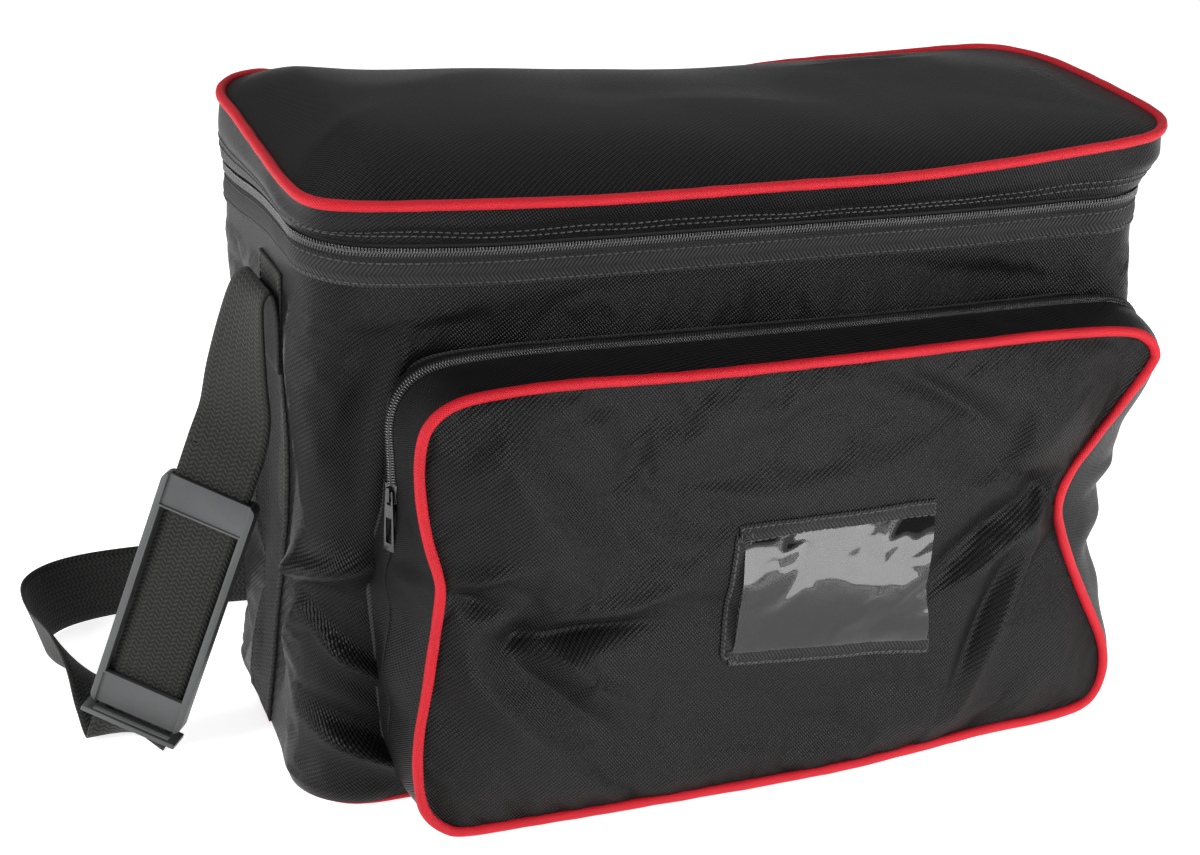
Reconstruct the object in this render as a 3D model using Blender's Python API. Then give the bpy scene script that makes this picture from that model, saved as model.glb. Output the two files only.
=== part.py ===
"""Soft-sided carry case: a padded fabric box with a zipped lid, a zipped front pocket
and a shoulder strap that carries a rigid sliding pad.

Metres, +Z up, front towards -Y. The origin is the centre of the base, on the floor.
"""

import math

import bmesh
import bpy
from mathutils import Matrix, Vector

# Driving dimensions of the case
BODY_HALF_X = 0.216
BODY_HALF_Y = 0.087
BODY_CORNER = 0.030
ZIP_Z = 0.285
GAP = 0.0003
FABRIC = 0.001
FOAM = 0.005
WALL_FOOT_Z = 0.0016

# The lid, a little larger than the body and set slightly forward
LID_HALF_X = 0.222
LID_HALF_Y = 0.0915
LID_Y = -0.005
LID_CORNER = 0.032
LID_EDGE_Z = 0.318
LID_CROWN = 0.012
HEM_INSET = 0.0030
HINGE_Y = 0.092

# Zips, tapes and piping
PIPING_R = 0.0025
RIM_TAPE_HEIGHT = 0.0135
TAPE = 0.001
ZIP_HALF = 0.0042
ZIP_THICK = 0.0020
ZIP_BACK_Y = 0.056

# The front pocket; its outline lies in the XZ plane
POCKET_X = 0.014
POCKET_Z = 0.1205
POCKET_HALF_X = 0.187
POCKET_HALF_Z = 0.111
POCKET_CORNER = 0.030
POCKET_DEPTH = 0.042
POCKET_SPLIT_Z = 0.165
POCKET_ZIP_DEPTH = 0.0085
POCKET_ZIP_HALF = 0.0030
PANEL_THICK = 0.0016
SPLIT_GAP = 0.0004

# The card window sewn on the pocket
LABEL_X = (-0.027, 0.085)
LABEL_Z = (0.0735, 0.1545)
LABEL_BINDING = 0.009

# The shoulder strap and what is on it
STRAP_WIDTH = 0.040
STRAP_THICK = 0.0014
END_STRAP_Y = -0.020
PAD_FOOT = Vector((-0.2880, -0.0050, 0.0190))
PAD_HEAD = Vector((-0.2475, -0.0150, 0.1450))
PAD_ACROSS = Vector((0.860, -0.51, 0.0))
PAD_WIDTH = 0.050
PAD_DEPTH = 0.0095
PAD_SLOT = 0.0030
PAD_BAR = 0.018

# Sliders and pullers, drawn with their travel along local Z
SLIDER_LENGTH = 0.010
SLIDER_WIDTH = 0.0078
SLIDER_DEPTH = 0.0034
BRIDGE_RISE = 0.0034
BRIDGE_BAR = 0.0011
BRIDGE_HALF = 0.0032
PULLER_THICK = 0.0012
PULLER_LENGTH = 0.031
POCKET_SLIDER_Z = 0.1725
LID_SLIDER_Y = 0.040

BODY_FRONT_Y = -BODY_HALF_Y
PANEL_BACK_Y = BODY_FRONT_Y - POCKET_DEPTH


def clear_scene():
    for thing in list(bpy.data.objects):
        bpy.data.objects.remove(thing, do_unlink=True)


def material(name, colour, roughness, metallic=0.0, alpha=1.0):
    made = bpy.data.materials.new(name)
    made.use_nodes = True
    shader = made.node_tree.nodes["Principled BSDF"]
    shader.inputs["Base Color"].default_value = (*colour, 1.0)
    shader.inputs["Roughness"].default_value = roughness
    shader.inputs["Metallic"].default_value = metallic
    shader.inputs["Alpha"].default_value = alpha
    return made


def add_mesh(name, bm, mat):
    """A smooth-shaded object from a bmesh, with sharp edges kept."""
    bmesh.ops.recalc_face_normals(bm, faces=bm.faces)
    mesh = bpy.data.meshes.new(name)
    bm.to_mesh(mesh)
    bm.free()
    mesh.materials.append(mat)
    mesh.shade_smooth()
    mesh.set_sharp_from_angle(angle=math.radians(35))
    thing = bpy.data.objects.new(name, mesh)
    bpy.context.scene.collection.objects.link(thing)
    return thing


def rounded(half_x, half_y, corner, centre=(0.0, 0.0), steps=6):
    """A rounded rectangle's points, anticlockwise from its right side."""
    points = []
    corners = ((1, -1, -90), (1, 1, 0), (-1, 1, 90), (-1, -1, 180))
    for sign_x, sign_y, start in corners:
        for k in range(steps + 1):
            angle = math.radians(start + 90 * k / steps)
            points.append(
                (
                    centre[0] + sign_x * (half_x - corner) + corner * math.cos(angle),
                    centre[1] + sign_y * (half_y - corner) + corner * math.sin(angle),
                )
            )
    return points


def around_front(points, limit, keep_above=False):
    """The open stretch of a closed outline below a limit (or above it), ends on the limit."""
    sign = -1.0 if keep_above else 1.0

    def inside(point):
        return sign * (limit - point[1]) > 0

    count = len(points)
    start = next(k for k in range(count) if inside(points[k]) and not inside(points[k - 1]))

    def crossing(outer, inner):
        share = (limit - outer[1]) / (inner[1] - outer[1])
        return (outer[0] + share * (inner[0] - outer[0]), limit)

    stretch = [crossing(points[start - 1], points[start])]
    k = start
    while inside(points[k % count]):
        stretch.append(points[k % count])
        k += 1
    stretch.append(crossing(points[k % count], points[(k - 1) % count]))
    return stretch


def wall(name, lower, upper, low, high, thick, mat, closed=True):
    """A thin upright wall between two outlines of equal length, its thickness inwards."""
    bm = bmesh.new()
    rows = [[bm.verts.new((x, y, z)) for x, y in line] for line, z in ((lower, low), (upper, high))]
    count = len(lower)
    for k in range(count if closed else count - 1):
        after = (k + 1) % count
        bm.faces.new((rows[0][k], rows[0][after], rows[1][after], rows[1][k]))
    thing = add_mesh(name, bm, mat)
    # Outlines run anticlockwise, so a face's own order already points it outwards.
    face = thing.data.polygons[0]
    outward = Vector((face.center[0], face.center[1], 0))
    if face.normal.dot(outward) < 0:
        thing.data.flip_normals()
    shell = thing.modifiers.new("Thickness", "SOLIDIFY")
    shell.thickness = thick
    shell.offset = -1.0
    shell.use_even_offset = True
    return thing


def slab(name, points, low, high, mat, crown=0.0, rings=5):
    """A flat plate, or with a crown a pad whose top is domed in rings."""
    bm = bmesh.new()
    bottom = bm.faces.new([bm.verts.new((x, y, low)) for x, y in points])
    sides = bmesh.ops.extrude_face_region(bm, geom=[bottom])
    lifted = [v for v in sides["geom"] if isinstance(v, bmesh.types.BMVert)]
    bmesh.ops.translate(bm, verts=lifted, vec=(0, 0, high - low))
    if crown:
        dome(bm, lifted, crown, rings)
    return add_mesh(name, bm, mat)


def dome(bm, edge_verts, crown, rings):
    """Turns the face on these vertices into rings that rise to a crown."""
    top = next(f for f in bm.faces if set(f.verts) == set(edge_verts))
    centre = top.calc_center_median()
    height, scale = 0.0, 1.0
    for k in range(1, rings + 1):
        share = k / (rings + 1)
        wanted = 1.0 - share
        rise = crown * math.sin(math.pi / 2 * share) ** 0.7
        top = bmesh.ops.extrude_discrete_faces(bm, faces=[top])["faces"][0]
        factor = wanted / scale
        bmesh.ops.scale(
            bm,
            verts=top.verts,
            vec=(factor, factor, 1.0),
            space=Matrix.Translation(-centre),
        )
        bmesh.ops.translate(bm, verts=top.verts, vec=(0, 0, rise - height))
        height, scale = rise, wanted
    bmesh.ops.poke(bm, faces=[top])


def dome_shell(name, points, low, thick, crown, rings, mat):
    """A thin domed sheet: the crown's outer face and the same face one thickness lower."""
    bm = bmesh.new()
    outline = [bm.verts.new((x, y, low + thick)) for x, y in points]
    bm.faces.new(outline)
    dome(bm, outline, crown, rings)
    thing = add_mesh(name, bm, mat)
    if thing.data.polygons[0].normal.z < 0:
        thing.data.flip_normals()
    shell = thing.modifiers.new("Thickness", "SOLIDIFY")
    shell.thickness = thick
    shell.offset = -1.0
    return thing


def stand_up(thing, face_y):
    """Turns a piece drawn flat so that its local Z points out of the front, at face_y."""
    thing.rotation_euler = (math.pi / 2, 0, 0)
    thing.location = (0, face_y, 0)
    return thing


def cord(name, points, radius, mat, cyclic):
    """A round cord along points, made as a bevelled curve with closed ends."""
    curve = bpy.data.curves.new(name, "CURVE")
    curve.dimensions = "3D"
    curve.bevel_depth = radius
    curve.bevel_resolution = 1
    curve.use_fill_caps = not cyclic
    spline = curve.splines.new("POLY")
    spline.points.add(len(points) - 1)
    for slot, point in zip(spline.points, points):
        slot.co = (*point, 1.0)
    spline.use_cyclic_u = cyclic
    curve.materials.append(mat)
    thing = bpy.data.objects.new(name, curve)
    bpy.context.scene.collection.objects.link(thing)
    return thing


def block(bm, low, high):
    """An axis-aligned box between two corners."""
    size = [b - a for a, b in zip(low, high)]
    centre = [(a + b) / 2 for a, b in zip(low, high)]
    place = Matrix.Translation(centre) @ Matrix.Diagonal((*size, 1.0))
    return bmesh.ops.create_cube(bm, size=1.0, matrix=place)["verts"]


def box_object(name, low, high, mat):
    bm = bmesh.new()
    block(bm, low, high)
    return add_mesh(name, bm, mat)


def cut(thing, cutter_name, boxes, mat):
    """Cuts boxes out of an object, which share its frame."""
    for k, (low, high) in enumerate(boxes):
        cutter = box_object(f"{cutter_name}_{k}", low, high, mat)
        cutter.hide_render = True
        cutter.display_type = "WIRE"
        cutter.parent = thing
        carve = thing.modifiers.new(cutter.name, "BOOLEAN")
        carve.operation = "DIFFERENCE"
        carve.object = cutter
    return thing


def smooth_route(points, per_span):
    """Points along a Catmull-Rom curve through a list of vectors."""
    ends = [2 * points[0] - points[1], *points, 2 * points[-1] - points[-2]]
    line = []
    for k in range(1, len(ends) - 2):
        a, b, c, d = ends[k - 1 : k + 3]
        for step in range(per_span):
            t = step / per_span
            line.append(
                0.5
                * (
                    2 * b
                    + (c - a) * t
                    + (2 * a - 5 * b + 4 * c - d) * t**2
                    + (3 * b - a - 3 * c + d) * t**3
                )
            )
    line.append(points[-1].copy())
    return line


def ribbon(name, stations, per_span, mat):
    """Flat webbing along (centre, across) stations: a rectangle swept with its twist."""
    centres = smooth_route([Vector(p) for p, _ in stations], per_span)
    acrosses = smooth_route([Vector(w).normalized() for _, w in stations], per_span)
    bm = bmesh.new()
    last = None
    for k, (centre, across) in enumerate(zip(centres, acrosses)):
        along = (centres[min(k + 1, len(centres) - 1)] - centres[max(k - 1, 0)]).normalized()
        across = (across - along * across.dot(along)).normalized()
        normal = along.cross(across)
        ring = []
        for u, v in ((-1, -1), (1, -1), (1, 1), (-1, 1)):
            offset = across * (u * STRAP_WIDTH / 2) + normal * (v * STRAP_THICK / 2)
            ring.append(bm.verts.new(centre + offset))
        if last is None:
            bm.faces.new(ring[::-1])
        else:
            for j in range(4):
                bm.faces.new((last[j], last[(j + 1) % 4], ring[(j + 1) % 4], ring[j]))
        last = ring
    bm.faces.new(last)
    return add_mesh(name, bm, mat)


def body_outline(inset=0.0):
    return rounded(BODY_HALF_X - inset, BODY_HALF_Y - inset, BODY_CORNER - inset)


def lid_outline(inset=0.0):
    return rounded(LID_HALF_X - inset, LID_HALF_Y - inset, LID_CORNER - inset, (0.0, LID_Y))


def pocket_outline(inset=0.0):
    return rounded(
        POCKET_HALF_X - inset,
        POCKET_HALF_Z - inset,
        POCKET_CORNER - inset,
        (POCKET_X, POCKET_Z),
    )


def build_base(mats):
    slab("base_fabric", body_outline(), 0.0, 0.0012, mats["fabric"])
    inner = FABRIC + GAP
    slab("base_board", body_outline(inner), WALL_FOOT_Z, 0.0040, mats["board"])
    loop = [(x, y, PIPING_R + 0.0001) for x, y in body_outline(-PIPING_R - GAP)]
    cord("base_piping", loop, PIPING_R, mats["piping"], True)


def build_body(mats):
    top = ZIP_Z - ZIP_HALF - GAP
    outer = body_outline()
    wall("body_wall", outer, outer, WALL_FOOT_Z, top, FABRIC, mats["fabric"])
    build_padding(mats, 0.0043, top - 0.002)
    lining_in = FABRIC + FOAM + 3 * GAP
    lining = body_outline(lining_in)
    wall("body_lining", lining, lining, 0.0097, top - 0.002, 0.0008, mats["lining"])
    slab("base_foam", body_outline(lining_in + GAP), 0.0043, 0.0090, mats["foam"])
    slab("base_lining", body_outline(lining_in + 0.0008 + GAP), 0.0093, 0.0101, mats["lining"])
    band = body_outline(-GAP - TAPE)
    wall("rim_tape", band, band, top - RIM_TAPE_HEIGHT, top, TAPE, mats["tape"])
    build_lid_zip(mats, "lid_zip_lower", ZIP_Z - ZIP_HALF, ZIP_Z - 0.0002)
    box_object(
        "lid_hinge_tape",
        (-0.180, BODY_HALF_Y + TAPE + 3 * GAP, top - RIM_TAPE_HEIGHT - 0.003),
        (0.180, BODY_HALF_Y + TAPE + 3 * GAP + 0.0008, ZIP_Z - 0.0006),
        mats["tape"],
    )


def build_padding(mats, low, high):
    """Foam walls: two flat boards at the front and back, two ends that turn the corners."""
    inset = FABRIC + GAP
    half_x, half_y = BODY_HALF_X - inset, BODY_HALF_Y - inset
    joint_x = BODY_HALF_X - BODY_CORNER - 0.004
    for name, sign in (("padding_front", -1), ("padding_back", 1)):
        near, far = sorted((sign * half_y, sign * (half_y - FOAM)))
        box_object(name, (-joint_x, near, low), (joint_x, far, high), mats["foam"])
    outline = rounded(half_x, half_y, BODY_CORNER - inset)
    reach = joint_x + GAP
    for name, sign in (("padding_left", -1), ("padding_right", 1)):
        turned = [(-sign * y, sign * x) for x, y in outline]
        piece = around_front(turned, -reach)
        line = [(sign * y, -sign * x) for x, y in piece]
        wall(name, line, line, low, high, FOAM, mats["foam"], closed=False)


def build_lid_zip(mats, name, low, high):
    """One half of the lid's zip: it runs round the ends and the front, and not the back."""
    line = around_front(body_outline(-GAP - ZIP_THICK), ZIP_BACK_Y)
    wall(name, line, line, low, high, ZIP_THICK, mats["zip"], closed=False)


def build_lid(mats):
    build_lid_zip(mats, "lid_zip_upper", ZIP_Z + 0.0002, ZIP_Z + ZIP_HALF)
    hem_z = ZIP_Z + ZIP_HALF + GAP
    hem, edge = lid_outline(HEM_INSET), lid_outline()
    wall("lid_skirt", hem, edge, hem_z, LID_EDGE_Z - GAP, FABRIC, mats["fabric"])
    loop = [(x, y, LID_EDGE_Z) for x, y in lid_outline(-PIPING_R - GAP)]
    cord("lid_piping", loop, PIPING_R, mats["piping"], True)
    dome_shell("lid_top", edge, LID_EDGE_Z, FABRIC, LID_CROWN, 5, mats["fabric"])
    inner = lid_outline(FABRIC + HEM_INSET + GAP)
    foam_top = LID_EDGE_Z - GAP
    slab("lid_foam", inner, foam_top - 0.010, foam_top, mats["foam"], LID_CROWN - 0.001, 5)
    slab("lid_lining", inner, foam_top - 0.0113, foam_top - 0.0103, mats["lining"])


def build_pocket(mats):
    face = BODY_FRONT_Y - GAP
    depth = POCKET_DEPTH - 2 * GAP
    whole = pocket_outline()
    low_line = around_front(whole, POCKET_SPLIT_Z - SPLIT_GAP / 2)
    high_line = around_front(whole, POCKET_SPLIT_Z + SPLIT_GAP / 2, keep_above=True)
    zip_near = POCKET_ZIP_DEPTH - POCKET_ZIP_HALF
    zip_far = POCKET_ZIP_DEPTH + POCKET_ZIP_HALF

    def strip(name, line, near, far, thick, mat):
        return stand_up(wall(name, line, line, near, far, thick, mat, closed=False), face)

    strip("pocket_gusset_lower", low_line, 0.0, depth, FABRIC, mats["fabric"])
    strip("pocket_gusset_back", high_line, 0.0, zip_near - GAP, FABRIC, mats["fabric"])
    strip("pocket_gusset_front", high_line, zip_far + GAP, depth, FABRIC, mats["fabric"])
    proud = around_front(pocket_outline(-FABRIC), POCKET_SPLIT_Z + SPLIT_GAP / 2, keep_above=True)
    middle = POCKET_ZIP_DEPTH
    strip("pocket_zip_inner", proud, zip_near, middle - 0.0002, 0.0020, mats["zip"])
    strip("pocket_zip_outer", proud, middle + 0.0002, zip_far, 0.0020, mats["zip"])

    binding = pocket_outline(-GAP - 0.0022)
    stand_up(wall("pocket_binding", binding, binding, 0.0, 0.0040, 0.0022, mats["tape"]), face)

    panel_face = PANEL_BACK_Y
    stand_up(slab("pocket_panel_lower", low_line, 0.0, PANEL_THICK, mats["fabric"]), panel_face)
    stand_up(slab("pocket_panel_upper", high_line, 0.0, PANEL_THICK, mats["fabric"]), panel_face)
    piping = pocket_outline(-PIPING_R - GAP)
    for name, above in (("pocket_piping_lower", False), ("pocket_piping_upper", True)):
        limit = POCKET_SPLIT_Z + (SPLIT_GAP if above else -SPLIT_GAP) / 2
        line = [(x, y, 0.0009) for x, y in around_front(piping, limit, keep_above=above)]
        stand_up(cord(name, line, PIPING_R, mats["piping"], False), panel_face)

    for name, sign in (("zip_patch_left", -1), ("zip_patch_right", 1)):
        side = POCKET_X + sign * (POCKET_HALF_X + GAP)
        near, far = sorted((side, side + sign * 0.0008))
        low = (near, face - 0.0200, POCKET_SPLIT_Z - 0.012)
        high = (far, face - 0.0050, POCKET_SPLIT_Z - SPLIT_GAP)
        box_object(name, low, high, mats["fabric"])


def build_card_window(mats):
    front = PANEL_BACK_Y - PANEL_THICK - GAP
    (left, right), (low, high) = LABEL_X, LABEL_Z
    film = LABEL_BINDING - 0.004
    box_object(
        "card_window",
        (left + film, front - 0.0004, low + film),
        (right - 0.001, front, high - film),
        mats["film"],
    )
    frame = box_object(
        "card_window_binding",
        (left, front - GAP - 0.0014, low),
        (right, front - GAP - 0.0004, high),
        mats["tape"],
    )
    hole_low = (left + LABEL_BINDING, front - 0.01, low + LABEL_BINDING)
    hole_high = (right + 0.01, front + 0.01, high - LABEL_BINDING)
    cut(frame, "card_window_cutter", [(hole_low, hole_high)], mats["tape"])


def build_end_webbing(mats):
    for name, sign in (("end_webbing_left", -1), ("end_webbing_right", 1)):
        near, far = sorted(
            sign * (BODY_HALF_X + offset) for offset in (GAP, GAP + STRAP_THICK)
        )
        stop_z = ZIP_Z - ZIP_HALF - GAP - RIM_TAPE_HEIGHT - 2 * GAP - 0.004
        box_object(
            name,
            (near, END_STRAP_Y - STRAP_WIDTH / 2, 2 * PIPING_R + 0.0006),
            (far, END_STRAP_Y + STRAP_WIDTH / 2, stop_z),
            mats["webbing"],
        )


def pad_frame():
    """The pad's frame of axes: X across the strap, Y out of its face, Z up along it."""
    along = (PAD_HEAD - PAD_FOOT).normalized()
    across = (PAD_ACROSS - along * PAD_ACROSS.dot(along)).normalized()
    return across, along.cross(across), along


def build_strap(mats):
    across, face, along = pad_frame()
    y = END_STRAP_Y
    fold_x = BODY_HALF_X + STRAP_THICK + 2 * GAP + STRAP_THICK / 2
    level = Vector((0.0, 1.0, 0.0))
    upright = Vector((0.0, 0.0, -1.0))
    left = [
        ((-fold_x - 0.0002, y, 0.2120), -level),
        ((-fold_x - 0.0005, y, 0.2380), -level),
        ((-fold_x - 0.0040, y, 0.2520), (0.06, -1, 0)),
        ((-fold_x - 0.0100, y, 0.2475), (0.15, -1, 0)),
        ((-0.2325, y + 0.001, 0.2260), (0.36, -0.93, 0)),
        ((-0.2350, y + 0.001, 0.2050), (0.55, -0.83, 0)),
        ((-0.2362, y + 0.002, 0.1840), (0.72, -0.69, 0)),
        (PAD_HEAD + along * 0.022, across),
        (PAD_HEAD + along * 0.012, across),
        (PAD_HEAD - along * 0.040, across),
        (PAD_FOOT + along * 0.040, across),
        (PAD_FOOT - along * 0.002, across),
        (PAD_FOOT - along * 0.0085 + face * -0.0005, across),
    ]
    behind = [
        ((-0.2925, 0.0080, 0.0026), (1.0, -0.05, 0.0)),
        ((-0.2955, 0.0250, 0.0062), (0.97, 0.02, -0.24)),
        ((-0.3010, 0.0440, 0.0126), (0.82, 0.05, -0.57)),
        ((-0.3110, 0.0660, 0.0176), (0.58, 0.0, -0.81)),
        ((-0.3230, 0.0930, 0.0198), (0.36, -0.06, -0.93)),
        ((-0.3215, 0.1180, 0.0206), (0.20, -0.14, -0.97)),
        ((-0.3010, 0.1350, 0.0206), (0.06, -0.10, -1.0)),
        ((-0.2600, 0.1400, 0.0209), upright),
        ((-0.2000, 0.1350, 0.0209), upright),
        ((-0.1200, 0.1260, 0.0209), upright),
        ((-0.0300, 0.1220, 0.0209), upright),
        ((0.0600, 0.1230, 0.0209), upright),
        ((0.1400, 0.1270, 0.0209), upright),
        ((0.1900, 0.1260, 0.0214), upright),
        ((0.2230, 0.1140, 0.0250), (0.0, -0.12, -0.99)),
        ((0.2390, 0.0900, 0.0400), (0.0, -0.45, -0.89)),
        ((0.2430, 0.0650, 0.0720), (0.0, -0.75, -0.66)),
        ((0.2420, 0.0450, 0.1120), (0.0, -0.88, -0.47)),
        ((0.2390, 0.0230, 0.1600), (0.0, -0.92, -0.40)),
        ((0.2345, -0.0020, 0.2050), (0.0, -0.96, -0.28)),
        ((fold_x + 0.0115, y + 0.0050, 0.2390), (0.0, -0.995, -0.06)),
        ((fold_x + 0.0060, y, 0.2520), -level),
        ((fold_x + 0.0008, y, 0.2380), -level),
        ((fold_x + 0.0004, y, 0.2120), -level),
    ]
    ribbon("shoulder_strap", left + behind, 3, mats["webbing"])
    build_slide(mats)
    build_pad(mats)


def place_on_strap(thing, foot):
    """Puts a piece drawn with X across, Y out and Z along onto the strap at a point."""
    across, face, along = pad_frame()
    turned = Matrix((across, face, along)).transposed().to_4x4()
    thing.matrix_world = Matrix.Translation(foot) @ turned
    return thing


def build_pad(mats):
    """The rigid shoulder pad: a plate with side rails, a slot along it and two front bars."""
    length = (PAD_HEAD - PAD_FOOT).length
    half, deep, slot = PAD_WIDTH / 2, PAD_DEPTH / 2, PAD_SLOT / 2
    inner = STRAP_WIDTH / 2 + 0.0012
    pad = box_object("strap_pad", (-half, -deep, 0.0), (half, deep, length), mats["pad"])
    slot_low, slot_high = (-inner, -slot, -0.01), (inner, slot, length + 0.01)
    window_low, window_high = (-inner, -0.02, PAD_BAR), (inner, 0.0005, length - PAD_BAR)
    place_on_strap(pad, PAD_FOOT)
    cut(pad, "pad_cutter", [(slot_low, slot_high), (window_low, window_high)], mats["pad"])


def build_slide(mats):
    """The adjuster under the pad: a flat loop with a centre bar, lying square to the strap."""
    half = PAD_WIDTH / 2 + 0.001
    slide = box_object("strap_slide", (-half, -0.0105, 0.0), (half, 0.0043, 0.0026), mats["pad"])
    inner = STRAP_WIDTH / 2 + 0.0012
    slots = [
        ((-inner, -0.0083, -0.01), (inner, -0.0047, 0.01)),
        ((-inner, -0.0018, -0.01), (inner, 0.0018, 0.01)),
    ]
    place_on_strap(slide, PAD_FOOT - pad_frame()[2] * 0.0050)
    cut(slide, "slide_cutter", slots, mats["pad"])


def slider_mesh(bm):
    """A zip slider: rounded body, and a bridge that holds the puller. X is outwards."""
    half_w, half_l = SLIDER_WIDTH / 2, SLIDER_LENGTH / 2
    body = block(bm, (0.0, -half_w, -half_l), (SLIDER_DEPTH, half_w, half_l))
    edges = list({e for v in body for e in v.link_edges})
    bmesh.ops.bevel(
        bm, geom=edges, offset=0.0008, segments=2, affect="EDGES", profile=0.5, material=-1
    )


def build_slider(name, mats):
    bm = bmesh.new()
    slider_mesh(bm)
    slider = add_mesh(name, bm, mats["metal"])
    top = SLIDER_DEPTH + BRIDGE_RISE
    bar, half_w = BRIDGE_BAR, 0.0008
    for k, (low, high) in enumerate(
        (
            ((SLIDER_DEPTH - 0.001, -half_w, -BRIDGE_HALF), (top, half_w, bar - BRIDGE_HALF)),
            ((SLIDER_DEPTH - 0.001, -half_w, BRIDGE_HALF - bar), (top, half_w, BRIDGE_HALF)),
            ((top - bar, -half_w, -BRIDGE_HALF), (top, half_w, BRIDGE_HALF)),
        )
    ):
        piece = box_object(f"{name}_bridge_{k}", low, high, mats["metal"])
        piece.hide_render = True
        piece.display_type = "WIRE"
        piece.parent = slider
        join = slider.modifiers.new(piece.name, "BOOLEAN")
        join.operation = "UNION"
        join.object = piece
    return slider


def build_puller(name, mats):
    """A puller with its eye round the origin, hanging down local Z: a plate, cut to shape."""
    half_t, half_w, stem = PULLER_THICK / 2, 0.0026, 0.0016
    eye_foot = -0.0058
    neck = eye_foot - 0.0012
    puller = box_object(
        name, (-half_t, -half_w, -PULLER_LENGTH), (half_t, half_w, half_t), mats["metal"]
    )
    eye = ((-0.01, -0.0014, eye_foot), (0.01, 0.0014, -half_t))
    left = ((-0.01, -0.01, -0.05), (0.01, -stem, neck))
    right = ((-0.01, stem, -0.05), (0.01, 0.01, neck))
    return cut(puller, f"{name}_cutter", [eye, left, right], mats["metal"])


def build_sliders(mats):
    """The pocket's slider waits at the foot of its zip, the lid's at the back of its own."""
    pin = SLIDER_DEPTH + BRIDGE_RISE - BRIDGE_BAR - 0.0011
    pocket_x = POCKET_X - POCKET_HALF_X - FABRIC - GAP
    pocket_y = BODY_FRONT_Y - GAP - POCKET_ZIP_DEPTH
    slider = build_slider("pocket_slider", mats)
    slider.location = (pocket_x, pocket_y, POCKET_SLIDER_Z)
    slider.rotation_euler = (0, 0, math.pi)
    puller = build_puller("pocket_puller", mats)
    puller.location = (pocket_x - pin, pocket_y, POCKET_SLIDER_Z)

    lid_x = BODY_HALF_X + GAP + ZIP_THICK + GAP
    slider = build_slider("lid_slider", mats)
    slider.location = (lid_x, LID_SLIDER_Y, ZIP_Z)
    slider.rotation_euler = (math.pi / 2, 0, 0)
    puller = build_puller("lid_puller", mats)
    puller.location = (lid_x + pin, LID_SLIDER_Y, ZIP_Z)
    puller.rotation_euler = (-math.pi / 2, 0, 0)


def main():
    clear_scene()
    mats = {
        "fabric": material("black_polyester", (0.022, 0.021, 0.021), 0.62),
        "lining": material("lining_nylon", (0.030, 0.030, 0.031), 0.55),
        "foam": material("foam_grey", (0.10, 0.10, 0.10), 0.95),
        "board": material("stiffener_board", (0.03, 0.03, 0.03), 0.60),
        "piping": material("red_piping", (0.62, 0.012, 0.025), 0.50),
        "tape": material("grosgrain_tape", (0.014, 0.014, 0.014), 0.70),
        "zip": material("zip_black", (0.012, 0.012, 0.012), 0.40),
        "webbing": material("webbing_black", (0.016, 0.016, 0.016), 0.75),
        "pad": material("pad_plastic", (0.075, 0.078, 0.080), 0.50),
        "film": material("clear_film", (0.85, 0.86, 0.87), 0.08, alpha=0.3),
        "metal": material("slider_metal", (0.05, 0.05, 0.05), 0.35, metallic=0.9),
    }
    build_base(mats)
    build_body(mats)
    build_lid(mats)
    build_pocket(mats)
    build_card_window(mats)
    build_end_webbing(mats)
    build_strap(mats)
    build_sliders(mats)


main()
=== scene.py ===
import math

import bmesh
import bpy
import numpy as np
from mathutils import Matrix, Quaternion, Vector, noise
from mathutils.bvhtree import BVHTree


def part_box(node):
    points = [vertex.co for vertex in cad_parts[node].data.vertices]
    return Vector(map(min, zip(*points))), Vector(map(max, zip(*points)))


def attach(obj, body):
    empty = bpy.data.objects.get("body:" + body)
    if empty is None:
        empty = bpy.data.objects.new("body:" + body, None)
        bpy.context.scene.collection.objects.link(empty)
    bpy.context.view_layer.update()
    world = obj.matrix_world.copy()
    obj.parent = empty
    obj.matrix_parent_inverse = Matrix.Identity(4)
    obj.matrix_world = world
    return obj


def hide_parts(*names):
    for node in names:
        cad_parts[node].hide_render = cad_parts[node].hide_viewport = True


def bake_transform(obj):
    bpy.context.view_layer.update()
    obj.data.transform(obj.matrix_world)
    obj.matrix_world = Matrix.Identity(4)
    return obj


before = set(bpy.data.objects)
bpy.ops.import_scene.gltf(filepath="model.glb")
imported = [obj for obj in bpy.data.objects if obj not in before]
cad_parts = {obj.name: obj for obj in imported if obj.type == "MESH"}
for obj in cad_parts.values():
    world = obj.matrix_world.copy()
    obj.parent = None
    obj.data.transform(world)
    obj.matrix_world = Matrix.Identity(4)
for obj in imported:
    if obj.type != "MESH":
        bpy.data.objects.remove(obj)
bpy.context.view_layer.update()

scene = bpy.context.scene
scene.view_settings.view_transform = "Standard"


# Camera, lights and floor

studio = {
    "azimuth": -21.0, "elevation": 23.41, "roll": 2.35, "distance": 1.2439,
    "target": (-0.0395, 0.0, 0.1476), "lens": 71.1, "sensor": 36.0,
    "sky": 0.22, "floorTone": 0.93, "floorGlow": 0.78,
    "lamps": {  # place, aims at, width, height, watts
        "leftSoftbox": ((-2.05, -0.45, 1.0), (-0.1, 0.0, 0.15), 0.7, 1.3, 48.0),
        "rightSoftbox": ((1.05, -1.20, 0.62), (0.12, -0.1, 0.12), 0.40, 0.8, 22.0),
        "topSoftbox": ((0.3, 0.9, 1.9), (0.0, 0.0, 0.2), 1.6, 0.7, 9.0),
        "lowStrip": ((0.15, -0.50, 0.045), (0.03, -0.13, 0.11), 0.34, 0.08, 0.52),
    },
}


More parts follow.
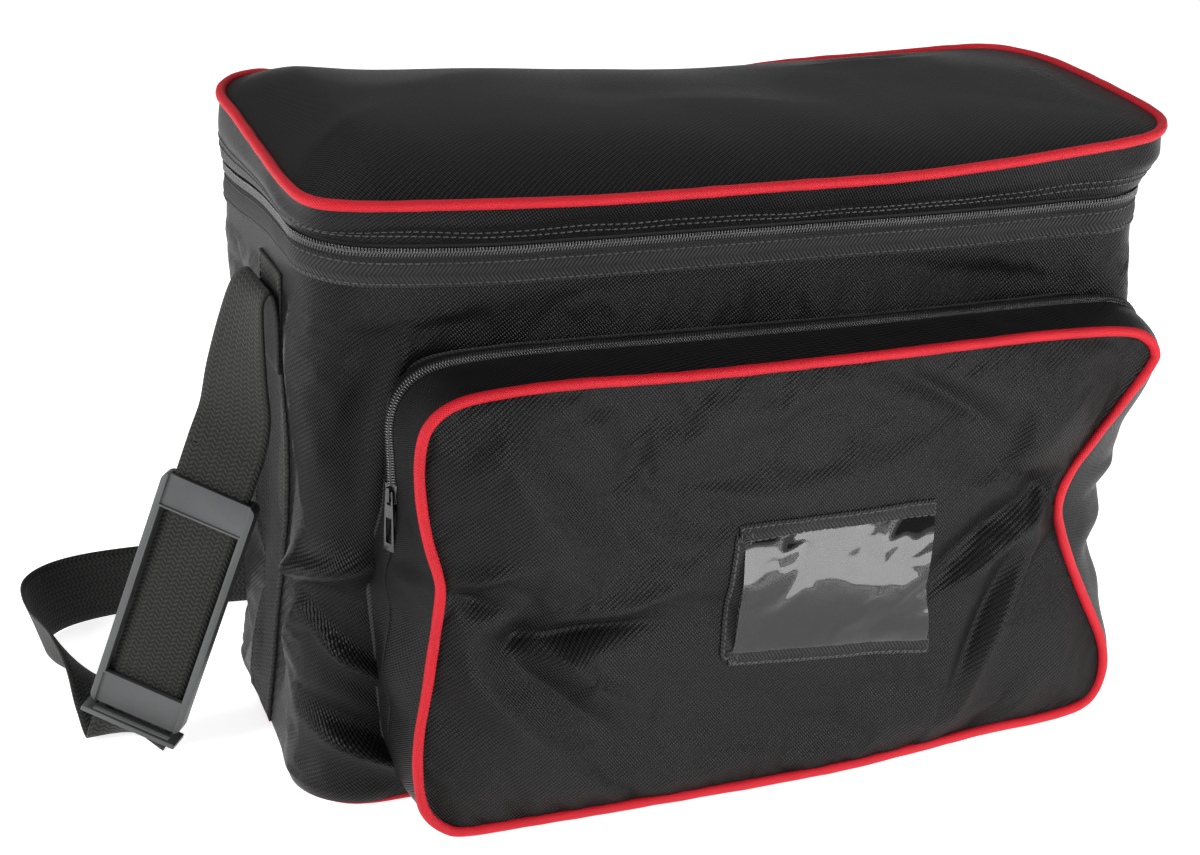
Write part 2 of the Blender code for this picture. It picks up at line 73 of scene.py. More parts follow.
def buildStudio():
    az, el = math.radians(studio["azimuth"]), math.radians(studio["elevation"])
    back = Vector((math.sin(az) * math.cos(el), -math.cos(az) * math.cos(el), math.sin(el)))
    camera = bpy.data.objects.new("camera", bpy.data.cameras.new("camera"))
    camera.data.lens, camera.data.sensor_width = studio["lens"], studio["sensor"]
    camera.data.clip_start = 0.05
    camera.rotation_mode = "QUATERNION"
    camera.location = Vector(studio["target"]) + back * studio["distance"]
    roll = Quaternion((0.0, 0.0, 1.0), math.radians(studio["roll"]))
    camera.rotation_quaternion = (-back).to_track_quat("-Z", "Y") @ roll
    scene.collection.objects.link(camera)
    scene.camera = camera
    for name, (place, aim, width, height, watts) in studio["lamps"].items():
        lamp = bpy.data.lights.new(name, "AREA")
        lamp.shape, lamp.size, lamp.size_y, lamp.energy = "RECTANGLE", width, height, watts
        softbox = bpy.data.objects.new(name, lamp)
        softbox.location = place
        facing = Vector(aim) - Vector(place)
        softbox.rotation_euler = facing.to_track_quat("-Z", "Y").to_euler()
        softbox.visible_camera = False
        scene.collection.objects.link(softbox)
    sky = bpy.data.worlds.new("paleRoom")
    sky.use_nodes = True
    sky.node_tree.nodes["Background"].inputs["Color"].default_value = (1.0, 1.0, 1.0, 1.0)
    sky.node_tree.nodes["Background"].inputs["Strength"].default_value = studio["sky"]
    scene.world = sky
    print("studio: camera and lights")


# Shader maths: a Wire is one output socket that can be used in expressions

class Wire:
    def __init__(self, finish, socket):
        self.finish, self.socket = finish, socket

    def maths(self, operation, other=None, swap=False):
        pair = (other, self) if swap else (self, other)
        values = {k: v for k, v in enumerate(pair) if v is not None}
        return self.finish.node("ShaderNodeMath", {"operation": operation}, values)

    def __add__(self, other):
        return self.maths("ADD", other)

    def __sub__(self, other):
        return self.maths("SUBTRACT", other)

    def __rsub__(self, other):
        return self.maths("SUBTRACT", other, swap=True)

    def __mul__(self, other):
        return self.maths("MULTIPLY", other)

    __radd__, __rmul__ = __add__, __mul__


class Finish:
    def __init__(self, name, fixed):
        self.material = bpy.data.materials.new(name)
        self.material.use_nodes = True
        self.tree = self.material.node_tree
        self.shader = self.tree.nodes["Principled BSDF"]
        for socket, value in fixed.items():
            self.shader.inputs[socket].default_value = value

    def node(self, kind, settings=None, values=None, output=0):
        made = self.tree.nodes.new(kind)
        for name, value in (settings or {}).items():
            setattr(made, name, value)
        for socket, value in (values or {}).items():
            self.feed(made.inputs[socket], value)
        return Wire(self, made.outputs[output])

    def feed(self, socket, value):
        if isinstance(value, Wire):
            self.tree.links.new(value.socket, socket)
        else:
            socket.default_value = value

    def cloth(self):  # metres across and along the flat cut
        flat = self.node("ShaderNodeUVMap", {"uv_map": "cloth"})
        return flat, self.node("ShaderNodeSeparateXYZ", None, {0: flat}), self.node(
            "ShaderNodeSeparateXYZ", None, {0: flat}, 1)

    def place(self):
        return self.node("ShaderNodeTexCoord", output=3)

    def noise(self, where, scale, detail=2.0, rough=0.5):
        return self.node("ShaderNodeTexNoise", None, {
            "Vector": where, "Scale": scale, "Detail": detail, "Roughness": rough})

    def mix(self, share, low, high):
        return self.node("ShaderNodeMix", {"data_type": "RGBA"}, {
            0: share, 6: (*low, 1.0), 7: (*high, 1.0)}, 2)

    def wear(self, share, low, high):  # share kept between 0 and 1
        return self.node("ShaderNodeMapRange", None, {0: share, 1: low, 2: high})

    def dress(self, colour=None, roughness=None, height=None, depth=0.0002, strength=1.0):
        for socket, value in (("Base Color", colour), ("Roughness", roughness)):
            if value is not None:
                self.feed(self.shader.inputs[socket], value)
        if height is not None:
            bump = self.node("ShaderNodeBump", None, {
                "Height": height, "Distance": depth, "Strength": strength})
            self.feed(self.shader.inputs["Normal"], bump)
        return self.material


# Finishes

clothLooks = {
    "blackPolyester": {"dark": (0.0008, 0.0008, 0.0008), "light": (0.0135, 0.0124, 0.0124),
                       "pitch": 0.00118, "depth": 0.00046, "roughness": 0.36, "sheen": 0.012},
    "liningNylon": {"dark": (0.020, 0.020, 0.021), "light": (0.050, 0.050, 0.052),
                    "pitch": 0.0016, "depth": 0.00012, "roughness": 0.50, "sheen": 0.08},
    "zipTape": {"dark": (0.006, 0.006, 0.006), "light": (0.022, 0.022, 0.022),
                "pitch": 0.0008, "depth": 0.00010, "roughness": 0.60, "sheen": 0.05},
}


def wovenCloth(name):
    look = clothLooks[name]
    finish = Finish(name, {
        "Sheen Weight": look["sheen"], "Sheen Roughness": 0.45,
        "Sheen Tint": (0.72, 0.70, 0.70, 1.0), "Specular IOR Level": 0.11})
    flat, across, along = finish.cloth()
    turn = 2 * math.pi / look["pitch"]
    rib = ((across * 0.80 + along * 0.60) * turn).maths("SINE")
    pick = ((across * 0.60 - along * 0.80) * (turn * 0.62)).maths("SINE")
    grain = finish.noise(flat, 1500.0, 1.0)
    drift = finish.noise(flat, 9.0, 3.0, 0.6)
    weave = rib * 0.28 + pick * 0.20 + 0.5
    height = weave * 0.72 + grain * 0.28
    tone = finish.wear(height * 0.82 + drift * 0.18, 0.36, 0.74)
    roughness = grain * 0.16 + (look["roughness"] - 0.08)
    return finish.dress(finish.mix(tone, look["dark"], look["light"]), roughness,
                        height, look["depth"])


def webbingFinish(name, pitch, column, dark, light, depth):
    finish = Finish(name, {
        "Sheen Weight": 0.10, "Sheen Roughness": 0.5,
        "Sheen Tint": (0.75, 0.75, 0.75, 1.0), "Specular IOR Level": 0.20})
    flat, across, along = finish.cloth()
    lean = (across * (1.0 / column)).maths("PINGPONG", 1.0)
    yarn = ((along + lean * (column * 0.75)) * (2 * math.pi / pitch)).maths("SINE")
    groove = (across * (math.pi / column)).maths("SINE").maths("ABSOLUTE")
    fuzz = finish.noise(flat, 2200.0, 2.0)
    height = (yarn * 0.5 + 0.5) * (groove * 0.6 + 0.4) * 0.8 + fuzz * 0.2
    tone = finish.wear(height * 0.8 + finish.noise(flat, 30.0) * 0.2, 0.15, 0.85)
    return finish.dress(finish.mix(tone, dark, light), fuzz * 0.2 + 0.60, height, depth)


def pipingFinish():
    finish = Finish("redPiping", {
        "Sheen Weight": 0.05, "Sheen Roughness": 0.4,
        "Sheen Tint": (1.0, 0.35, 0.4, 1.0), "Specular IOR Level": 0.22})
    flat, around, along = finish.cloth()
    turn = 2 * math.pi / 0.00135
    warp = ((along + around) * turn).maths("SINE")
    weft = ((along - around) * turn).maths("SINE")
    height = warp * 0.28 + weft * 0.22 + finish.noise(flat, 1600.0) * 0.25 + 0.4
    tone = finish.wear(height * 0.75 + finish.noise(flat, 45.0, 3.0) * 0.3, 0.15, 0.85)
    colour = finish.mix(tone, (0.24, 0.0012, 0.006), (0.56, 0.006, 0.018))
    return finish.dress(colour, height * 0.15 + 0.45, height, 0.00022)


def plainFinish(name, dark, light, roughness, scale, depth, fixed=None):
    finish = Finish(name, fixed or {})
    where = finish.place()
    fine = finish.noise(where, scale, 3.0, 0.6)
    broad = finish.noise(where, 28.0, 3.0)
    tone = finish.wear(fine * 0.4 + broad * 0.6, 0.30, 0.70)
    return finish.dress(finish.mix(tone, dark, light), fine * 0.14 + (roughness - 0.07),
                        fine, depth)


def filmFinish():
    finish = Finish("clearFilm", {
        "Base Color": (0.002, 0.002, 0.002, 1.0), "IOR": 1.52, "Alpha": 0.92})
    where = finish.place()
    haze = finish.noise(where, 160.0, 4.0, 0.6)
    ripple = finish.noise(where, 26.0, 1.0)
    return finish.dress(None, finish.wear(haze, 0.3, 0.9) * 0.08 + 0.03, ripple, 0.00012)


finishes = {
    "fabric": wovenCloth("blackPolyester"),
    "lining": wovenCloth("liningNylon"),
    "zipTape": wovenCloth("zipTape"),
    "webbing": webbingFinish("blackWebbing", 0.0026, 0.0025, (0.0030, 0.0030, 0.0028),
                             (0.027, 0.027, 0.025), 0.00040),
    "grosgrain": webbingFinish("grosgrainTape", 0.0020, 0.0060, (0.0015, 0.0015, 0.0015),
                               (0.030, 0.030, 0.030), 0.00060),
    "piping": pipingFinish(),
    "zip": plainFinish("zipCoil", (0.008, 0.008, 0.008), (0.030, 0.030, 0.030), 0.22, 900.0,
                       0.00003, {"Specular IOR Level": 0.6}),
    "thread": plainFinish("blackThread", (0.012, 0.012, 0.012), (0.045, 0.045, 0.045), 0.62,
                          2500.0, 0.00006),
    "plastic": plainFinish("padPlastic", (0.040, 0.041, 0.042), (0.066, 0.068, 0.070), 0.48,
                           1400.0, 0.00005),
    "metal": plainFinish("sliderMetal", (0.045, 0.045, 0.047), (0.085, 0.085, 0.088), 0.34,
                         700.0, 0.00003, {"Metallic": 1.0}),
    "film": filmFinish(),
}


# Sewing helpers

def smoothLine(stations, closed=False, perSpan=12):
    # a Catmull-Rom line through the stations
    p = np.array(stations, float)
    if closed:
        p = np.vstack([p[-1], p, p[0], p[1]])
    else:
        p = np.vstack([2 * p[0] - p[1], p, 2 * p[-1] - p[-2]])
    a, b, c, d = (x[:, None] for x in (p[:-3], p[1:-2], p[2:-1], p[3:]))
    t = (np.arange(perSpan) / perSpan)[None, :, None]
    line = 0.5 * (2 * b + (c - a) * t + (2 * a - 5 * b + 4 * c - d) * t**2
                  + (3 * b - a - 3 * c + d) * t**3)
    return np.vstack([line.reshape(-1, p.shape[1]), p[-2]])


def lengthsOf(line):
    steps = np.linalg.norm(np.diff(line[:, :3], axis=0), axis=1)
    return np.concatenate([[0.0], np.cumsum(steps)])


def alongLine(line, share):
    # the points at these shares of the line's length
    gone = lengthsOf(line)
    return np.stack([np.interp(share * gone[-1], gone, line[:, k])
                     for k in range(line.shape[1])], axis=1)


def folds(a, b, table):
    # every row: centre a, centre b, half length, half width, turn in degrees, height
    total = np.zeros(len(a))
    for a0, b0, longHalf, wideHalf, turn, lift in table:
        c, s = math.cos(math.radians(turn)), math.sin(math.radians(turn))
        x = ((a - a0) * c + (b - b0) * s) / longHalf
        y = ((b - b0) * c - (a - a0) * s) / wideHalf
        total += lift * np.exp(-x * x - np.abs(y) ** 1.5)
    return total


def ripples(spots, size, amount, seed=0.0):
    shift = Vector((seed, 2 * seed, 3 * seed))
    return amount * np.array([noise.noise(Vector(p) / size + shift) for p in spots])


def metres(rows, angle=None):
    # rows written in millimetres, apart from the column that holds an angle
    return [tuple(v if k == angle else v / 1000 for k, v in enumerate(row)) for row in rows]


def unit(vectors):
    return vectors / np.maximum(np.linalg.norm(vectors, axis=1, keepdims=True), 1e-12)


def belongs(piece, body, slotName, *nodes):
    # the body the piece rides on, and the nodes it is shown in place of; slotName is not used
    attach(piece, body)
    if nodes:
        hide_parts(*nodes)


def meshObject(name, bm, *materials):
    mesh = bpy.data.meshes.new(name)
    bm.to_mesh(mesh)
    bm.free()
    mesh.shade_smooth()
    for material in materials:
        mesh.materials.append(material)
    piece = bpy.data.objects.new(name, mesh)
    scene.collection.objects.link(piece)
    return piece


def flipFaces(piece):
    bm = bmesh.new()
    bm.from_mesh(piece.data)
    bmesh.ops.reverse_faces(bm, faces=bm.faces)
    bm.to_mesh(piece.data)
    bm.free()


def layCloth(name, cells, size, place, material, lift=None, flat=None, thick=0.0):
    # a flat cut of cloth, bent into place by place(u, v), then puffed along its normals
    bm = bmesh.new()
    uv = bm.loops.layers.uv.new("cloth")
    bmesh.ops.create_grid(bm, x_segments=cells[0], y_segments=cells[1], size=0.5, calc_uvs=True)
    cut = np.array([v.co for v in bm.verts]) + 0.5
    spots = place(cut[:, 0], cut[:, 1])
    uLayer, vLayer = (bm.verts.layers.float.new(n) for n in ("cutU", "cutV"))
    for vert, spot, (u, v, _) in zip(bm.verts, spots, cut):
        vert.co, vert[uLayer], vert[vLayer] = spot, u, v
    for face in bm.faces:
        for loop in face.loops:
            if flat is None:
                loop[uv].uv = (loop[uv].uv[0] * size[0], loop[uv].uv[1] * size[1])
            else:
                loop[uv].uv = (loop.vert.co[flat[0]], loop.vert.co[flat[1]])
    bmesh.ops.remove_doubles(bm, verts=bm.verts, dist=1e-6)
    bm.normal_update()
    if lift is not None:
        u = np.array([v[uLayer] for v in bm.verts])
        v = np.array([v[vLayer] for v in bm.verts])
        spots = np.array([v.co for v in bm.verts])
        normals = np.array([v.normal for v in bm.verts])
        for vert, spot in zip(bm.verts, spots + normals * lift(u, v, spots)[:, None]):
            vert.co = spot
    piece = meshObject(name, bm, material)
    if thick:
        solid = piece.modifiers.new("thickness", "SOLIDIFY")
        solid.thickness, solid.offset = thick, -1.0
    return piece


def tube(name, line, radius, cells, material, outward):
    # cloth sewn round a closed cord; outward says which way is up
    count = cells[0]
    centres = alongLine(line, np.linspace(0, 1, count + 1))[:, :3]
    ahead = unit(np.roll(centres[:-1], -1, axis=0) - np.roll(centres[:-1], 1, axis=0))
    ahead = np.vstack([ahead, ahead[:1]])
    sides = unit(np.cross(ahead, np.tile(outward, (count + 1, 1))))
    ups = np.cross(sides, ahead)

    def place(u, v):
        k = np.rint(u * count).astype(int)
        angle = (2 * math.pi * v)[:, None]
        ring = sides[k] * np.cos(angle) + ups[k] * np.sin(angle)
        return centres[k] + ring * radius

    def lift(u, v, spots):
        return ripples(spots, 0.012, 0.00025, 4.0)

    girth, length = 2 * math.pi * radius, lengthsOf(line)[-1]
    piece = layCloth(name, cells, (girth, length), place, material, lift)
    for loop in piece.data.uv_layers["cloth"].data:
        u, v = loop.uv
        loop.uv = (v / length * girth, u / girth * length)
    return piece


settling = {"frames": 14, "shrink": -0.012, "stiff": 12.0, "bend": 0.6, "mass": 0.3}


def puffed(piece, pinned, pressure, most):
    # lets the cloth settle between its pinned seams, and keeps each move under most
    frames, stiff = settling["frames"], settling["stiff"]
    group = piece.vertex_groups.new(name="seams")
    for index, weight in enumerate(pinned):
        if weight > 0:
            group.add([index], float(weight), "REPLACE")
    cloth = piece.modifiers.new("settle", "CLOTH")
    cloth.settings.vertex_group_mass = "seams"
    cloth.settings.quality, cloth.settings.mass = 6, settling["mass"]
    cloth.settings.tension_stiffness = cloth.settings.compression_stiffness = stiff
    cloth.settings.shear_stiffness = stiff * 0.4
    cloth.settings.bending_stiffness = settling["bend"]
    cloth.settings.shrink_min = settling["shrink"]
    cloth.settings.use_pressure = True
    cloth.settings.uniform_pressure_force = pressure
    cloth.settings.effector_weights.gravity = 0.0
    cloth.collision_settings.use_collision = False
    cloth.point_cache.frame_start, cloth.point_cache.frame_end = 1, frames
    others = [m for m in piece.modifiers if m != cloth]
    for modifier in others:
        modifier.show_viewport = False
    for frameNumber in range(1, frames + 1):
        scene.frame_set(frameNumber)
    settled = piece.evaluated_get(bpy.context.evaluated_depsgraph_get())
    count = len(piece.data.vertices)
    before, after = np.empty(count * 3), np.empty(count * 3)
    piece.data.vertices.foreach_get("co", before)
    settled.data.vertices.foreach_get("co", after)
    move = (after - before).reshape(-1, 3)
    size = np.maximum(np.linalg.norm(move, axis=1, keepdims=True), 1e-9)
    move *= most * np.tanh(size / most) / size
    piece.modifiers.remove(cloth)
    for modifier in others:
        modifier.show_viewport = True
    piece.vertex_groups.remove(group)
    piece.data.vertices.foreach_set("co", before + move.ravel())
    piece.data.update()
    scene.frame_set(1)
    print(f"settled {piece.name}: moved up to {np.linalg.norm(move, axis=1).max() * 1000:.1f} mm")


def surfaceOf(*pieces):
    bm = bmesh.new()
    for piece in pieces:
        bm.from_mesh(piece.data)
    tree = BVHTree.FromBMesh(bm)
    bm.free()
    return tree


def onSurface(tree, line, away):
    # the line pressed onto the surface, with the surface's normals
    spots, normals = [], []
    for point in line:
        spot, normal, _, _ = tree.find_nearest(Vector(point))
        spots.append(spot + normal * away)
        normals.append(normal)
    return np.array(spots), np.array(normals)


def stampAlong(name, stamp, places, material):
    # one mesh made of many copies of a small one
    bm = bmesh.new()
    for matrix in places:
        first = len(bm.verts)
        bm.from_mesh(stamp)
        bm.verts.ensure_lookup_table()
        bmesh.ops.transform(bm, matrix=matrix, verts=bm.verts[first:])
    return meshObject(name, bm, material)


def addBlock(bm, middle, size):
    shape = Matrix.Translation(middle) @ Matrix.Diagonal((*size, 1.0))
    bmesh.ops.create_cube(bm, size=1.0, matrix=shape)


def smallPart(size, bevel):
    bm = bmesh.new()
    addBlock(bm, (0, 0, 0), size)
    bmesh.ops.bevel(bm, geom=bm.edges[:], offset=bevel, segments=1, affect="EDGES",
                    profile=0.5, material=-1)
    mesh = bpy.data.meshes.new("stamp")
    bm.to_mesh(mesh)
    bm.free()
    return mesh


def standing(spot, ahead, up):
    # X ahead, Z up, at a spot
    x = Vector(ahead).normalized()
    y = Vector(up).cross(x).normalized()
    turned = Matrix((x, y, x.cross(y))).transposed().to_4x4()
    return Matrix.Translation(spot) @ turned


stitching = {"stitch": 0.0027, "gap": 0.0010, "width": 0.00085, "height": 0.00075,
             "round": 0.00025, "lift": 0.00005}
stitchStamp = smallPart((stitching["stitch"], stitching["width"], stitching["height"]),
                        stitching["round"])


def sewLine(tree, line):
    # places for a row of stitches along a line that lies near the surface
    count = max(2, int(lengthsOf(line)[-1] / (stitching["stitch"] + stitching["gap"])))
    spots, normals = onSurface(tree, alongLine(line, (np.arange(count) + 0.5) / count),
                               stitching["lift"])
    ahead = np.gradient(spots, axis=0)
    return [standing(s, a, n) for s, a, n in zip(spots, ahead, normals)]


def sewRows(name, rows, body, slotName):
    # every row: the piece it is sewn to, and its line
    places = [place for piece, line in rows for place in sewLine(surfaceOf(piece), line)]
    belongs(stampAlong(name, stitchStamp, places, finishes["thread"]), body, slotName)


# The case body

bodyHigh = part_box("body_wall")[1]
case = {
    "halfX": bodyHigh.x, "halfY": bodyHigh.y, "corner": 0.030, "foot": 0.0022,
    "overhang": 0.0036, "crease": 2.7, "deepest": 0.0065, "rim": 0.2815, "zip": 0.2860,
    "hem": 0.2905, "hemOut": 0.0034, "tape": 0.0135, "wall": 0.0068, "inside": 0.0088,
    "spine": 0.12, "piping": 0.0024,
    # how far the rim rises or sags round the case: distance from the front's middle, rise
    "rimWave": metres([
        (0, -4.5), (100, -5.5), (150, -5), (186, -3), (215, -1), (290, 0), (370, 0), (580, 0),
        (770, -1), (830, -1), (870, 3.5), (900, 5), (930, 5), (955, 3.5), (985, 0), (1030, -3),
        (1100, -4)]),
    "swells": metres([  # s, z, half length, half width, turn, height
        (790, 255, 75, 75, 0, 6.5), (212, 230, 32, 110, 0, 9.5), (965, 0, 50, 50, 0, 5.5),
        (935, 190, 30, 50, 0, 2), (290, 110, 50, 80, 0, 1.2), (580, 140, 150, 90, 0, 4.2),
        (40, 258, 150, 22, 0, -2)], 4),
    "folds": metres([
        (930, 118, 12, 6, 10, 4.2), (949, 111, 22, 6.5, -12, -4.5), (955, 128, 30, 8, 12, 3.4),
        (952, 96, 30, 7.5, -35, -4.8), (962, 82, 30, 8, -38, 5), (972, 66, 28, 7, -38, -3.4),
        (974, 30, 26, 6, -25, 4.2), (966, 44, 24, 6.5, -25, -3.4), (924, 82, 30, 8, 60, 2.2),
        (905, 60, 26, 8, 70, -2), (968, 205, 60, 11, 86, -2.2), (985, 220, 70, 9, 80, 1.6),
        (915, 165, 45, 10, 75, -2.4), (930, 205, 50, 9, 95, 1.4), (860, 120, 50, 10, 78, 1.8),
        (850, 75, 40, 10, 65, -1.8), (835, 200, 45, 8, 100, -1.6), (230, 120, 40, 8, 60, -3),
        (240, 90, 34, 8, 45, 3), (250, 55, 30, 7, 30, -3), (232, 40, 30, 7, 20, 3),
        (330, 180, 40, 9, 80, -2), (345, 80, 35, 8, 120, -2.6), (360, 60, 35, 8, 130, 2.4),
        (440, 220, 50, 10, 20, -2.2), (520, 90, 60, 12, -15, -2.6),
        (640, 180, 60, 12, 25, -2.2), (700, 70, 45, 10, -30, -2.6), (715, 52, 40, 9, -32, 2.2),
        (120, 250, 40, 6, -8, -1.4), (1060, 254, 50, 6, 6, -1.2)], 4),
}


def outline(halfX, halfY, corner, steps=14):
    # a rounded rectangle from the middle of its front, counterclockwise from above
    line = [(0.0, -halfY)]
    for k, (sx, sy) in enumerate(((1, -1), (1, 1), (-1, 1), (-1, -1))):
        for step in range(steps + 1):
            angle = math.radians(-90 + 90 * k + 90 * step / steps)
            line.append((sx * (halfX - corner) + corner * math.cos(angle),
                         sy * (halfY - corner) + corner * math.sin(angle)))
    line.append((0.0, -halfY))
    return np.array(line)


caseLine = outline(case["halfX"], case["halfY"], case["corner"])
caseRound = lengthsOf(caseLine)[-1]


def rimWave(s):
    table = case["rimWave"]
    where = [p[0] for p in table] + [caseRound]
    rise = [p[1] for p in table] + [table[0][1]]
    soft = [np.interp((s + d) % caseRound, where, rise) for d in (-0.012, 0.0, 0.012)]
    return sum(soft) / 3


def wallFold(s, up, table):
    s = s % caseRound
    return sum(folds(s + shift, up, table) for shift in (-caseRound, 0.0, caseRound))


def wallAt(s, z, out=0.0, creased=True):
    # a point on the outer face of the case, s metres round it and z up
    share = (s % caseRound) / caseRound
    spot = alongLine(caseLine, share)
    step = alongLine(caseLine, (share + 1e-3) % 1.0) - alongLine(caseLine, (share - 1e-3) % 1.0)
    normal = unit(np.stack([step[:, 1], -step[:, 0]], axis=1))
    fade = np.clip((0.268 - z) / 0.03, 0, 1) if creased else 0.0
    over = case["overhang"] * np.clip(z / 0.007, 0, 1) ** 0.5 * np.clip((0.10 - z) / 0.09, 0, 1)
    crease = fade * case["crease"] * wallFold(s, z, case["folds"])
    crease = np.where(crease < 0, case["deepest"] * np.tanh(crease / case["deepest"]), crease)
    swell = out + over + wallFold(s, z, case["swells"]) + crease
    spot = spot + normal * (swell if np.ndim(swell) == 0 else swell[:, None])
    return np.column_stack([spot, z])


def gathered(spot, pull):
    # draws a round of points in to the line down the middle of the case
    middle = np.clip(spot[:, 0], -case["spine"], case["spine"])
    spot[:, 0] += (middle - spot[:, 0]) * pull
    spot[:, 1] *= 1 - pull
    return spot


def buildWall():
    def wall(u, v):
        s = u * caseRound
        top = case["rim"] + rimWave(s)
        return wallAt(s, case["foot"] + v * (top - case["foot"]))

    def settleRipple(u, v, spots):
        return ripples(spots, 0.055, 0.0013) * np.sin(math.pi * np.clip(v, 0, 1)) ** 0.5

    piece = layCloth("caseWall", (400, 96), (caseRound, 0.28), wall, finishes["fabric"],
                     settleRipple, thick=0.0012)
    # held at the foot and the rim, and less tightly under the webbing
    x, y, z = np.array([v.co for v in piece.data.vertices]).T
    webbed = (np.abs(y - strap["y"]) < 0.026) & (np.abs(x) > 0.205)
    pins = np.maximum((z < 0.006) | (z > 0.255), webbed * 0.6)
    puffed(piece, pins, pressure=0.6, most=0.0035)
    belongs(piece, "case", "outer_fabric", "body_wall")
    print("case: wall")
    return piece


def buildCaseInside():
    rows = np.array([  # share of the profile, step in from the outer face, height, pull
        (0.00, 0.0006, 0.0000, 0.0), (0.02, -0.0016, 0.0014, 0.0), (0.04, -0.0052, 0.0012, 0.0),
        (0.06, -case["wall"], -0.0020, 0.0), (0.12, -0.0105, -0.0300, 0.0),
        (0.66, -0.0125, -0.2640, 0.0),
        (0.68, -0.0140, -0.2700, 0.0), (0.70, -0.0170, -0.2722, 0.0),
        (1.00, -0.0170, -0.2722, 1.0)])

    def lining(u, v):
        s = u * caseRound
        out, drop, pull = (np.interp(v, rows[:, 0], rows[:, k]) for k in (1, 2, 3))
        spot = wallAt(s, np.full(len(s), case["rim"]), out, creased=False)
        height = case["rim"] + rimWave(s) * (drop > -0.1) + drop
        spot[:, 2] = np.maximum(height, case["inside"])
        return gathered(spot, pull)

    def softly(u, v, spots):
        return ripples(spots, 0.045, 0.0016, 7.0) * (v > 0.08)

    inside = layCloth("caseLining", (300, 110), (caseRound, 0.42), lining, finishes["lining"],
                      softly)
    belongs(inside, "case", "lining", "body_lining", "base_lining", "base_foam", "base_board",
            "padding_front", "padding_back", "padding_left", "padding_right")
    print("case: lining")


def buildCaseFoot():
    def floorCloth(u, v):
        spot = wallAt(u * caseRound, np.full(len(u), 0.001), -0.0008)
        spot[:, 2] = 0.0008 + 0.0014 * v ** 6
        return gathered(spot, 1 - v)

    under = layCloth("caseBase", (240, 24), (caseRound, 0.1), floorCloth, finishes["fabric"],
                     flat=(0, 1))
    flipFaces(under)
    belongs(under, "case", "outer_fabric", "base_fabric")

    s = np.linspace(0, caseRound, 241)
    line = wallAt(s, np.full(len(s), 0.0), -0.0022 + 0.0030 * np.exp(-((s - 1.0) / 0.035) ** 2))
    line[:, 2] = 0.0026
    piping = tube("basePiping", line, case["piping"], (620, 12), finishes["piping"],
                  (0.0, 0.0, 1.0))
    belongs(piping, "case", "red_piping", "base_piping")
    print("case: base and its piping")


def buildRim():
    def tapeAt(u, v):
        s = u * caseRound
        top = case["rim"] + rimWave(s) + 0.0008
        z = top - case["tape"] * (1 - v)
        return wallAt(s, z, 0.0013 - 0.0004 * np.cos(2 * math.pi * v))

    def lift(u, v, spots):
        return ripples(spots, 0.02, 0.0005, 2.0)

    tape = layCloth("rimTape", (640, 8), (caseRound, case["tape"]), tapeAt,
                    finishes["grosgrain"], lift, thick=0.0007)
    turnTapeUv(tape)
    belongs(tape, "case", "tape", "rim_tape")

    u = np.linspace(0, 1, 700)
    sewRows("rimStitches", [(tape, tapeAt(u, np.full(700, v))) for v in (0.12, 0.86)],
            "case", "tape")
    print("rim: tape and stitches")


def turnTapeUv(piece):
    # the cloth map of a tape: across first, then along
    for loop in piece.data.uv_layers["cloth"].data:
        u, v = loop.uv
        loop.uv = (v, u)


# Zips: a row of coil turns on each tape

zipper = {"pitch": 0.00150, "coil": (0.0030, 0.00105, 0.0011), "tape": 0.0042, "lap": 0.0007,
          "hingeHalf": 0.184}
pocketZip = {"pitch": 0.00135, "roll": 0.75, "proud": 0.0026,
             "coil": (0.0030, 0.0009, 0.0014), "lap": 0.0006}


def coilRow(name, centres, ahead, ups, side, shape, offset):
    # side is 1 above the line, -1 below it
    long, wide, high = shape["coil"]
    stamp = smallPart((wide, long, high), min(wide, high) * 0.3)
    across = unit(np.cross(ups, ahead))
    gone = lengthsOf(centres)
    count = int(gone[-1] / shape["pitch"])
    share = (np.arange(count) + 0.25 + 0.5 * (side > 0)) / count
    both = alongLine(np.column_stack([centres, ahead, ups, across]), share)
    places = []
    for row in both:
        spot, forward, up, over = row[:3], row[3:6], row[6:9], row[9:12]
        spot = spot + over * side * (long / 2 - shape["lap"]) + up * offset
        places.append(standing(spot, unit((forward + over * side * 0.18)[None])[0], up))
    return stampAlong(name, stamp, places, finishes["zip"])


def buildLidZip():
    half = zipper["hingeHalf"] - 0.003
    s = np.linspace(caseRound / 2 + half, caseRound * 1.5 - half, 760)
    z = case["zip"] + rimWave(s)
    centres = wallAt(s, z, 0.0016)
    ahead = unit(np.gradient(centres, axis=0))
    outer = unit(wallAt(s, z, 0.01) - wallAt(s, z, 0.0))
    for side, name, body, node in ((1, "Upper", "lid", "lid_zip_upper"),
                                   (-1, "Lower", "case", "lid_zip_lower")):
        row = coilRow("lidZipCoil" + name, centres, ahead, outer, side, zipper, 0.0002)

        def strip(u, v):
            k = u * (len(s) - 1)
            here = np.interp(k, np.arange(len(s)), s)
            rise = 0.0002 + (v if side > 0 else 1 - v) * zipper["tape"]
            return wallAt(here, case["zip"] + rimWave(here) + rise * side, 0.0009)

        tape = layCloth("lidZipTape" + name, (500, 3), (lengthsOf(centres)[-1], zipper["tape"]),
                        strip, finishes["zipTape"], thick=0.0006)
        belongs(row, body, "zip")
        belongs(tape, body, "zip", node)
    print("lid zip: two coil rows on their tapes")


# The lid

